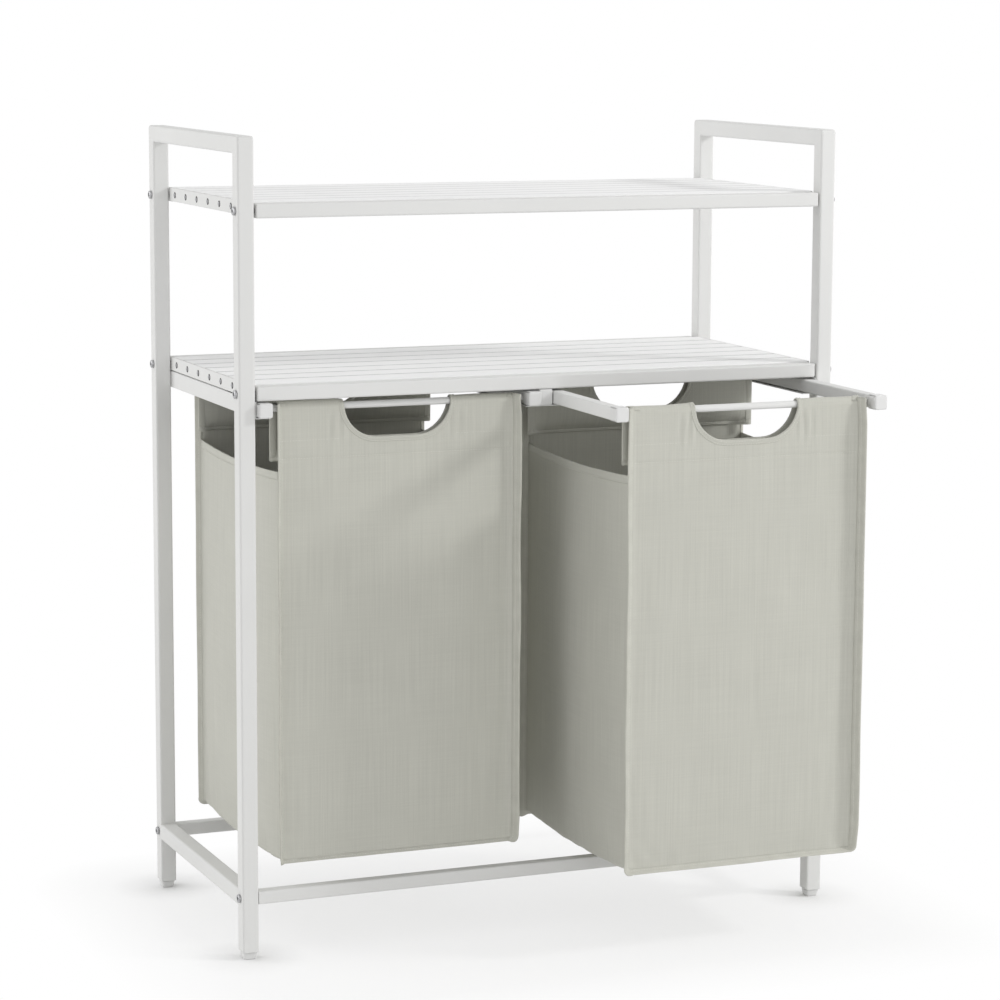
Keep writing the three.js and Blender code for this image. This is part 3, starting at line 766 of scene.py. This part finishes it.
    def tape(self, end, spacing):
        """The bound seam's line, and at each point its axes along its width and through its thickness."""
        forwards = Vector((0.0, -1.0 if end == "front" else 1.0, 0.0))
        low, low_wide = LOWER_SEAMS.get((self.side, end), PLAIN_LOWER)
        top = self.top - TAPE_END
        path, axes = [], []
        for x, z, out, down in self.hoop(top, round((top - self.base) / spacing), 8,
                                         round((self.seam - self.size.seam_corner) / spacing)):
            lean, wide, _ = self.upright_seam(end, x)
            up = ease(abs(out))
            wave = ripple(x * 18.0, z * 11.0, self.seed + (30.0 if end == "front" else 37.0))
            turn = math.radians(low + (lean - low) * up) + 0.16 * wave
            mitre = 1.0 + 0.35 * abs(out * down) if x < 0.0 else 1.0
            width = (low_wide + (wide - low_wide) * up) * mitre
            thickness = 1.0 + 0.15 * ripple(x * 60.0, z * 60.0, self.seed + 41.0)
            outwards = Vector((out, 0.0, down))
            path.append(self.at(end, x, -self.curl(end, x, z), z))
            axes.append(((outwards * math.cos(turn) + forwards * math.sin(turn)) * width,
                         (forwards * math.cos(turn) - outwards * math.sin(turn)) * thickness))
        return path, axes

    def binding(self, end):
        """The bound seam round an end panel, a folded tape that stands out at the corners of the bag."""
        pile = Pile()
        width, thick = self.size.tape_width, self.size.tape_thickness
        section = [(a * width, -b * thick) for a, b in TAPE_SHAPE] + [(width, 0.0)]
        section += [(a * width, b * thick) for a, b in reversed(TAPE_SHAPE)]
        across = [max(-1.0, 2.0 * a / width - 1.0) for a, _ in section]
        pile.strip(*self.tape(end, TAPE_STEP), section, across)
        return self.sew(pile, f"{end}_binding", "seam_tape")

    def side_top(self, along):
        """Height of a side panel's top edge, from the front seam at 0 to the rear seam at 1."""
        return self.top - self.size.side_drop - self.size.side_sag * math.sin(math.pi * along) ** 0.8

    def swell(self, x, z, out, along):
        """How far the gusset stands outside its hoop at one point."""
        y = along * (self.rear - self.front)
        edge = min(along, 1.0 - along) * (self.rear - self.front)
        to_base = z - self.base
        to_corner = math.hypot(self.seam - abs(x), to_base)
        hump = math.sin(math.pi * along) ** 0.75
        if abs(out) > 0.5:
            up = min(1.0, to_base / (self.top - self.size.side_drop - self.base) * 0.92 + 0.06)
            belly = self.size.bulge * hump * (0.30 + 0.70 * math.sin(math.pi * up) ** 0.8)
            belly *= ease(to_base / 0.05)
        else:
            belly = self.size.base_sag * hump * max(0.0, 1.0 - (x / self.seam) ** 2) ** 0.7
        seed = self.seed + (50.0 if x > 0.0 else 57.0)
        slack = 0.0012 * ripple(y * 12.0, (z + x) * 8.0, seed) * hump
        folds = 0.0005 * ripple(y * 38.0, (z + x) * 12.0, seed + 3.0) * min(1.0, hump * 2.0)
        seam_pucker = 0.0006 * ripple(y * 25.0, z * 110.0 + x * 90.0, seed + 5.0) * bell(edge - 0.006, 0.010)
        corner_pucker = 0.0011 * ripple(y * 55.0, (x + z) * 45.0, seed + 7.0) * bell(to_corner - 0.012, 0.022)
        out = belly + slack + folds + seam_pucker + corner_pucker
        return out * ease(edge / 0.007) + 0.0009 * taper(edge, 0.006)

    def gusset_point(self, along, x, z, out, down, lift=0.0):
        """Point of the gusset at one spot of a hoop, or some distance outside it."""
        out_by = self.swell(x, z, out, along) + lift
        depth = self.rear - self.front
        y = self.front + self.skin + (depth - 2.0 * self.skin) * along
        y -= self.curl("front", x, z) * taper(along * depth, 0.011)
        y += self.curl("rear", x, z) * taper((1.0 - along) * depth, 0.011)
        z -= self.size.edge_sag * math.sin(math.pi * along) ** 0.7 * ease(1.0 - (z - self.base) / 0.07)
        return Vector((self.middle + x + out * out_by, y, z + down * out_by))

    def side_line(self, sign, drop, first, count, lift=0.0):
        """A line under a side's top edge, from a first share of the depth to its mirror."""
        return [self.gusset_point(along, sign * self.seam, self.side_top(along) - drop, sign, 0.0, lift)
                for along in spread(first, 1.0 - first, count)]

    def gusset(self):
        """One strip of cloth down a side, under the bottom and up the other side."""
        pile = Pile()
        near = [0.0, 0.003, 0.007, 0.013, 0.02, 0.028]
        rows, coords = [], []
        for along in near + spread(0.04, 0.96, 40) + [1.0 - step for step in reversed(near)]:
            hoop = self.hoop(self.side_top(along), *GUSSET_STEPS)
            rows.append([self.gusset_point(along, *spot) for spot in hoop])
            marks = travelled([spot[:2] for spot in hoop])
            coords.append([(along * (self.rear - self.front), mark) for mark in marks])
        pile.sheet(rows, coords)
        return self.sew(pile, "gusset", "bag_cloth", self.size.thickness)

    def beside_handle(self, end, x, lift):
        """Points over the rod beside the handle opening, some distance off the cloth."""
        folds = [self.fold(end, x, turn) for turn in self.fold_turns(end, x, 10)]
        return [point + way * lift for point, way in folds]

    def handle_loop(self, end, out, lift):
        """Closed line round the handle opening, some distance out from its edge and off the cloth."""
        corner = self.size.handle_corner
        flat, edge = self.half_handle - corner, self.half_handle + out
        right = [(x, self.shoulder - corner - out) for x in spread(0.0, flat, 6)]
        right += [(flat + (corner + out) * math.sin(turn), self.shoulder - (corner + out) * math.cos(turn))
                  for turn in CORNER_TURNS]
        outline = [(-x, z) for x, z in reversed(right[1:])] + right
        inside = [(x, z) for x, z in reversed(outline) if z < self.rod_z - 0.001]
        loop = [self.outer(end, x, z, lift) for x, z in outline] + self.beside_handle(end, edge, lift)
        loop += [self.inner(end, x, z, lift) for x, z in [(edge, self.rod_z), *inside, (-edge, self.rod_z)]]
        return loop + self.beside_handle(end, -edge, lift)[::-1]

    def hems(self):
        """Folded edges: the band round each handle opening, the sleeves' hems and the sides' top hems."""
        pile = Pile()
        skin = self.skin
        band = ((-0.0004, -0.0002), (0.0, skin + 0.0004), (0.0008, skin + 0.0009), (0.0018, skin + 0.0005),
                (0.0046, skin + 0.0005), (0.0054, skin + 0.0003), (0.006, skin - 0.0003))
        for end in ENDS:
            inwards = Vector((0.0, 1.0 if end == "front" else -1.0, 0.0))
            loops = [self.handle_loop(end, out, lift) for out, lift in band]
            loops = [loop + loop[:1] for loop in loops]
            marks = travelled(loops[0])
            pile.sheet(loops, [[(out, mark) for mark in marks] for out, _ in band])
            reach = self.seam - 0.001
            path = [self.inner(end, x, self.line - 0.0002, 0.0004) for x in spread(-reach, reach, LINE_STEPS)]
            pile.strip(path, [(UP, inwards)] * len(path), oval(*SLEEVE_HEM))
            for sign in (-1.0, 1.0):
                x = sign * (self.seam - 0.004)
                path = [self.inner(end, x, z) for z in spread(self.line + 0.001, self.rod_z, 14)]
                axes = [(SIDEWAYS, inwards)] * len(path)
                for turn in spread(math.pi, 0.0, 10)[1:-1]:
                    point, way = self.fold(end, x, turn)
                    path.append(point)
                    axes.append((SIDEWAYS, way))
                pile.strip(path, axes, oval(*SLEEVE_SIDE))
        for sign in (-1.0, 1.0):
            path = self.side_line(sign, 0.0043, 0.006, 54)
            pile.strip(path, [(UP, SIDEWAYS * sign)] * len(path), oval(*SIDE_HEM))
        return self.sew(pile, "hems", "hem_cloth")

    def stitch_lines(self):
        """Every row of stitches of the bag, as lists of points on the cloth."""
        lines = []
        off, off_hem = self.skin + 0.0001, self.skin + 0.0006
        reach = self.seam - 0.003
        z = self.top - self.size.second_line
        for end in ENDS:
            lines.append([self.outer(end, x, self.line, off) for x in spread(-reach, reach, LINE_STEPS)])
            lines.append([self.inner(end, x, self.line, 0.0017) for x in spread(-reach, reach, LINE_STEPS)])
            for sign in (-1.0, 1.0):
                lines.append([self.outer(end, sign * x, z, off) for x in spread(0.071, reach, 24)])
            lines += [self.handle_loop(end, out, off_hem) for out in (0.0016, 0.0050)]
            path, axes = self.tape(end, TAPE_STITCH_STEP)
            for side in (-1.0, 1.0):
                across, through = self.size.tape_width * 0.36, side * self.size.tape_thickness * 0.43
                lines.append([point + first * across + second * through
                              for point, (first, second) in zip(path, axes)])
        return lines + [self.side_line(sign, 0.0078, 0.012, 60, off_hem) for sign in (-1.0, 1.0)]


class Recipe(Nodes):
    """Geometry Nodes tree with a geometry in and out, and named inputs for its sizes."""

    def __init__(self, name, inputs):
        super().__init__(bpy.data.node_groups.new(name, "GeometryNodeTree"))
        sockets = self.tree.interface
        for label, kind, value in (("Geometry", "Geometry", None), *inputs):
            socket = sockets.new_socket(name=label, in_out="INPUT", socket_type=f"NodeSocket{kind}")
            if value is not None:
                socket.default_value = value
        sockets.new_socket(name="Geometry", in_out="OUTPUT", socket_type="NodeSocketGeometry")
        self.given = self.tree.nodes.new("NodeGroupInput").outputs
        self.result = self.tree.nodes.new("NodeGroupOutput").inputs

    def dressed(self, geometry, **values):
        return self.add("GeometryNodeSetMaterial", {"Geometry": geometry, **values})["Geometry"]

    def placed(self, points, mesh, facing, **values):
        """A mesh on every point, with its own Z turned to face one way."""
        turn = self.add("FunctionNodeAlignRotationToVector", {"Vector": facing}, axis="Z")["Rotation"]
        copies = self.add("GeometryNodeInstanceOnPoints", {"Points": points, "Instance": mesh,
                                                           "Rotation": turn, **values})["Instances"]
        return self.add("GeometryNodeRealizeInstances", {"Geometry": copies})["Geometry"]


def stitch_tree():
    """Stitches: small rounded threads laid end to end along every line of the mesh."""
    work = Recipe("stitches", (("Pitch", "Float", 0.0032), ("Stitch Length", "Float", 0.0024),
                               ("Thread Radius", "Float", 0.0003), ("Material", "Material", None)))
    radius = work.given["Thread Radius"]
    half = work.times(work.given["Stitch Length"], 0.5)
    line = work.add("GeometryNodeMeshToCurve", {"Mesh": work.given["Geometry"]})["Curve"]
    steps = work.add("GeometryNodeResampleCurve", {"Curve": line, "Length": work.given["Pitch"]},
                     mode="LENGTH")["Curve"]
    ball = work.add("GeometryNodeMeshUVSphere", {"Segments": 6, "Rings": 4, "Radius": 1.0})["Mesh"]
    size = work.add("ShaderNodeCombineXYZ", {"X": radius, "Y": radius, "Z": half})["Vector"]
    thread = work.add("GeometryNodeTransform", {"Geometry": ball, "Scale": size})["Geometry"]
    vary = work.add("FunctionNodeRandomValue", {"Seed": 7, 0: (0.9, 0.9, 0.88), 1: (1.12, 1.12, 1.06)},
                    data_type="FLOAT_VECTOR")["Value"]
    tangent = work.add("GeometryNodeInputTangent", {})["Tangent"]
    solid = work.placed(steps, thread, tangent, Scale=vary)
    smooth = work.add("GeometryNodeSetShadeSmooth", {"Geometry": solid})["Geometry"]
    work.feed(work.result["Geometry"], work.dressed(smooth, Material=work.given["Material"]))
    return work.tree


def screw_tree():
    """Screws: a seat coloured near-black as a painted shadow ring round the head, a round head with a
    bevelled rim, and a recess whose floor is painted shade as well, on every point, along its facing.
    """
    work = Recipe("plate_screws", (("Seat Radius", "Float", 0.0034), ("Head Share", "Float", 0.7),
                                   ("Head Height", "Float", 0.0011), ("Recess Share", "Float", 0.45),
                                   ("Seat Material", "Material", None), ("Material", "Material", None)))

    def grow(mesh, pick, share_of_height, size):
        """Raises the picked faces by a share of the head's height, then scales their ends."""
        rise = work.times(work.given["Head Height"], share_of_height)
        up = work.add("GeometryNodeExtrudeMesh", {"Mesh": mesh, "Selection": pick, "Offset Scale": rise,
                                                  "Individual": False}, mode="FACES")
        narrow = work.add("GeometryNodeScaleElements", {"Geometry": up["Mesh"], "Selection": up["Top"],
                                                        "Scale": size}, domain="FACE")
        return narrow["Geometry"], up["Top"]

    def marked(mesh, pick, value):
        """Notes on the picked faces whether they are bright steel."""
        inputs = {"Geometry": mesh, "Selection": pick, "Name": "bright", "Value": value}
        note = work.add("GeometryNodeStoreNamedAttribute", inputs, data_type="BOOLEAN", domain="FACE")
        return note["Geometry"]

    def noted(name, kind):
        return work.add("GeometryNodeInputNamedAttribute", {"Name": name}, data_type=kind)["Attribute"]

    disc = work.add("GeometryNodeMeshCircle", {"Vertices": 20, "Radius": work.given["Seat Radius"]},
                    fill_type="NGON")
    mesh, top = grow(disc["Mesh"], True, 0.16, 1.0)
    mesh, top = grow(mesh, top, 0.0, work.given["Head Share"])
    mesh = marked(mesh, top, True)
    recess = work.given["Recess Share"]
    for rise, size in ((0.5, 1.0), (0.22, 0.93), (0.12, 0.86), (0.0, recess), (-0.7, 0.85)):
        mesh, top = grow(mesh, top, rise, size)
    # The recess floor is left off the bright steel and takes the near-black painted shade.
    mesh = marked(mesh, top, False)
    solid = work.placed(work.given["Geometry"], mesh, noted("facing", "FLOAT_VECTOR"))
    seat = work.dressed(solid, Material=work.given["Seat Material"])
    head = work.dressed(seat, Selection=noted("bright", "BOOLEAN"), Material=work.given["Material"])
    work.feed(work.result["Geometry"], head)
    return work.tree


def grown(name, source, tree, values, body):
    """Runs a tree on a mesh and keeps its result as a plain piece on a body."""
    maker = put(f"{name}_source", source)
    step = maker.modifiers.new("make", "NODES")
    step.node_group = tree
    for item in tree.interface.items_tree:
        if item.in_out == "INPUT" and item.name in values:
            step[item.identifier] = values[item.name]
    graph = bpy.context.evaluated_depsgraph_get()
    result = bpy.data.meshes.new_from_object(maker.evaluated_get(graph))
    maker.modifiers.clear()
    bpy.data.objects.remove(maker)
    result.name = name
    if not result.polygons:
        raise RuntimeError(f"{name} came out empty")
    piece = put(name, result)
    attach(piece, body)
    return piece


class HAMPER_OT_paint(bpy.types.Operator):
    """Coat the side frames, cross tubes, end plates, rails, arms and rods"""

    bl_idname = "hamper.paint"
    bl_label = "Paint Tube Frame"

    def execute(self, context):
        coat = powder_coat(context.scene.hamper_finish.paint)
        finish(coat, *nodes_like("_side_frame", "_tube", "_plate", "_rail", "_arm", "_rod"))
        return {"FINISHED"}


class HAMPER_OT_slats(bpy.types.Operator):
    """Paint the slats of both shelves"""

    bl_idname = "hamper.slats"
    bl_label = "Paint Slats"

    def execute(self, context):
        boxes = [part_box(f"upper_shelf_slat_{i}") for i in (1, 2)]
        paint = slat_paint(context.scene.hamper_finish.board, boxes)
        finish(paint, *[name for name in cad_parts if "_slat_" in name])
        return {"FINISHED"}


class HAMPER_OT_mouldings(bpy.types.Operator):
    """Give the feet, caps and plug their plastic"""

    bl_idname = "hamper.mouldings"
    bl_label = "Finish Mouldings"

    def execute(self, context):
        plastic = moulded_plastic(context.scene.hamper_finish.plastic)
        finish(plastic, *nodes_like("_foot", "_cap", "_plug"))
        return {"FINISHED"}


class HAMPER_OT_bolts(bpy.types.Operator):
    """Plate the bolts through the legs"""

    bl_idname = "hamper.bolts"
    bl_label = "Plate Bolts"

    def execute(self, context):
        zinc = plated_steel("zinc_plate", context.scene.hamper_finish.zinc, 0.3)
        finish(zinc, *nodes_like("_bolt"))
        return {"FINISHED"}


class HAMPER_OT_screws(bpy.types.Operator):
    """Fit a screw through each end plate into each slat"""

    bl_idname = "hamper.screws"
    bl_label = "Fit Plate Screws"

    def execute(self, context):
        settings = context.scene.hamper_finish
        steel = plated_steel("screw_steel", settings.screw, 0.36)
        # Near-black material for the seat rings and recess floors: painted shadow round and inside each screw
        # head.
        shadow_paint = plated_steel("blackened_steel", settings.screw_painted_shadow, 0.8, metallic=0.0, gloss=0.1)
        spots, ways = [], []
        for level in ("upper", "lower"):
            for side, way in (("left", -1.0), ("right", 1.0)):
                low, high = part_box(f"{level}_shelf_{side}_plate")
                x = low[0] if way < 0 else high[0]
                for i in range(1, 8):
                    slat_low, slat_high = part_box(f"{level}_shelf_slat_{i}")
                    y = (slat_low[1] + slat_high[1]) / 2
                    spots.append((x - way * SEAT_SINK, y, slat_high[2] - settings.screw_below_top))
                    ways.append((way, 0.0, 0.0))
        points = bpy.data.meshes.new("screw_points")
        points.from_pydata(spots, [], [])
        facing = points.attributes.new("facing", "FLOAT_VECTOR", "POINT")
        for spot, way in zip(facing.data, ways):
            spot.vector = way
        screws = grown("plate_screws", points, screw_tree(), {
            "Seat Radius": settings.screw_ring / 2, "Head Share": settings.screw_head / settings.screw_ring,
            "Head Height": settings.screw_height, "Recess Share": settings.screw_recess,
            "Seat Material": shadow_paint, "Material": steel}, "frame")
        return {"FINISHED"}


class HAMPER_OT_bags(bpy.types.Operator):
    """Sew the panels, gusset and hems of both bags and hang them on their rods"""

    bl_idname = "hamper.bags"
    bl_label = "Sew Bags"

    def execute(self, context):
        settings = context.scene.hamper_bags
        bag_cloth("bag_cloth", settings.cloth, settings.yarn, 1.0)
        bag_cloth("hem_cloth", settings.cloth, settings.yarn, 0.4)
        seam_tape(settings.tape, settings.tape_width)
        for side in BAGS:
            shape = BagShape(side)
            pieces = [shape.end_panel(end) for end in ENDS] + [shape.gusset(), shape.hems()]
            pieces += [shape.binding(end) for end in ENDS]
            for piece in pieces:
                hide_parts(f"{side}_bag_fabric")
        return {"FINISHED"}


class HAMPER_OT_stitches(bpy.types.Operator):
    """Stitch the seams, hems and handle openings"""

    bl_idname = "hamper.stitches"
    bl_label = "Stitch Bags"

    def execute(self, context):
        settings = context.scene.hamper_bags
        thread = sewing_thread(settings.thread)
        tree = stitch_tree()
        for side in BAGS:
            shape = BagShape(side)
            points, edges = [], []
            for line in shape.stitch_lines():
                first = len(points)
                points += [tuple(point) for point in line]
                edges += [(first + k, first + k + 1) for k in range(len(line) - 1)]
            rows = bpy.data.meshes.new(f"{side}_stitch_rows")
            rows.from_pydata(points, edges, [])
            piece = grown(f"{side}_bag_stitches", rows, tree, {
                "Pitch": settings.stitch, "Stitch Length": settings.stitch * THREAD_SHARE,
                "Thread Radius": settings.thread_width / 2, "Material": thread}, shape.body)
            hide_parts(f"{side}_bag_fabric")
        return {"FINISHED"}


class HAMPER_OT_stage(bpy.types.Operator):
    """Set up the floor, the lamps, the room light and the camera"""

    bl_idname = "hamper.stage"
    bl_label = "Set Stage"

    def execute(self, context):
        settings = context.scene.hamper_stage
        self.lay_floor(settings)
        self.light_room(context, settings)
        for name, (size, spot) in LAMPS.items():
            self.hang_lamp(name, getattr(settings, name), size, Vector(spot))
        self.set_camera(context, settings)
        context.scene.view_settings.view_transform = "Standard"
        return {"FINISHED"}

    def lay_floor(self, settings):
        """Pale floor that keeps the shadow. Further out it fades to plain white for the camera."""
        paint = Paint("studio_floor", settings.floor, {"Roughness": 0.9, "Specular IOR Level": 0.0})
        away = paint.place
        steps = (("ABSOLUTE", {}), ("SUBTRACT", {1: (CAD_BOX[1][0], CAD_BOX[1][1], 0.0)}), ("MAXIMUM", {}))
        for operation, other in steps:
            away = paint.add("ShaderNodeVectorMath", {0: away, **other}, operation=operation)[0]
        away = paint.add("ShaderNodeVectorMath", {0: away}, operation="LENGTH")["Value"]
        contact = paint.add("ShaderNodeAmbientOcclusion", {"Distance": settings.floor_contact},
                            samples=12)["AO"]
        lift = paint.ranged(away, settings.floor_lift, 1.0, FADE_FROM, settings.floor_fade)
        lift = paint.times(lift, paint.maths("POWER", contact, CONTACT_POWER))
        grain = paint.speckle(900.0)
        paint.feed(paint.shader.inputs["Normal"], paint.raised(grain, 0.1, 0.0002))
        glow = paint.add("ShaderNodeEmission", {"Strength": 1.0})[0]
        mix = paint.add("ShaderNodeMixShader", {0: paint.times(paint.seen_directly(), lift),
                                                1: paint.shader.outputs[0], 2: glow})[0]
        paint.feed(paint.tree.nodes["Material Output"].inputs["Surface"], mix)
        mesh = bpy.data.meshes.new("studio_floor")
        corners = [(x * FLOOR_REACH, y * FLOOR_REACH, 0) for x, y in ((-1, -1), (1, -1), (1, 1), (-1, 1))]
        mesh.from_pydata(corners, [], [(0, 1, 2, 3)])
        mesh.materials.append(paint.material)
        floor = put("studio_floor", mesh)

    def light_room(self, context, settings):
        world = bpy.data.worlds.new("studio_room")
        world.use_nodes = True
        context.scene.world = world
        sky = world.node_tree.nodes["Background"]
        room = Nodes(world.node_tree)
        room.feed(sky.inputs["Color"], (1.0, 1.0, 1.0, 1.0))
        room.feed(sky.inputs["Strength"], room.ranged(room.seen_directly(), settings.room, 1.0))

    def hang_lamp(self, name, power, size, spot):
        lamp = bpy.data.lights.new(name, "AREA")
        lamp.shape = "DISK"
        lamp.size = size
        lamp.energy = power
        holder = put(name, lamp)
        holder.location = spot
        holder.rotation_euler = (LAMPS_FACE - spot).to_track_quat("-Z", "Y").to_euler()

    def set_camera(self, context, settings):
        data = bpy.data.cameras.new("studio_camera")
        data.lens = settings.lens
        data.sensor_width = SENSOR_WIDTH
        turn, dip, roll = settings.turn, settings.dip, settings.roll
        ahead = Vector((math.sin(turn) * math.cos(dip), math.cos(turn) * math.cos(dip), -math.sin(dip)))
        right = Vector((math.cos(turn), -math.sin(turn), 0.0))
        up = right.cross(ahead)
        right, up = (right * math.cos(roll) + up * math.sin(roll),
                     up * math.cos(roll) - right * math.sin(roll))
        turned = Matrix((right, up, -ahead)).transposed().to_4x4()
        camera = put("studio_camera", data)
        camera.matrix_world = Matrix.Translation(settings.eye) @ turned
        context.scene.camera = camera


class HAMPER_PT_panel(bpy.types.Panel):
    """Lists the hamper's settings and steps"""

    bl_idname = "HAMPER_PT_panel"
    bl_label = "Laundry Hamper"
    bl_space_type = "VIEW_3D"
    bl_region_type = "UI"
    bl_category = "Hamper"

    def draw(self, context):
        for name, kind in GROUPS.items():
            group = getattr(context.scene, name)
            box = self.layout.box()
            box.label(text=kind.__doc__)
            for key in group.bl_rna.properties.keys():
                if key not in {"rna_type", "name"}:
                    box.prop(group, key)
        for step in STEPS:
            self.layout.operator(step.bl_idname)


GROUPS = {"hamper_finish": HamperFinish, "hamper_bags": HamperBags, "hamper_stage": HamperStage}
STEPS = (HAMPER_OT_paint, HAMPER_OT_slats, HAMPER_OT_mouldings, HAMPER_OT_bolts, HAMPER_OT_screws,
         HAMPER_OT_bags, HAMPER_OT_stitches, HAMPER_OT_stage)
CLASSES = (*GROUPS.values(), *STEPS, HAMPER_PT_panel)


def register():
    for item in CLASSES:
        bpy.utils.register_class(item)
    for name, kind in GROUPS.items():
        setattr(bpy.types.Scene, name, bpy.props.PointerProperty(type=kind))


def unregister():
    for name in GROUPS:
        delattr(bpy.types.Scene, name)
    for item in reversed(CLASSES):
        bpy.utils.unregister_class(item)


def main():
    register()
    bpy.ops.hamper.paint()
    bpy.ops.hamper.slats()
    bpy.ops.hamper.mouldings()
    bpy.ops.hamper.bolts()
    bpy.ops.hamper.screws()
    bpy.ops.hamper.bags()
    bpy.ops.hamper.stitches()
    bpy.ops.hamper.stage()


if __name__ == "__main__":
    main()
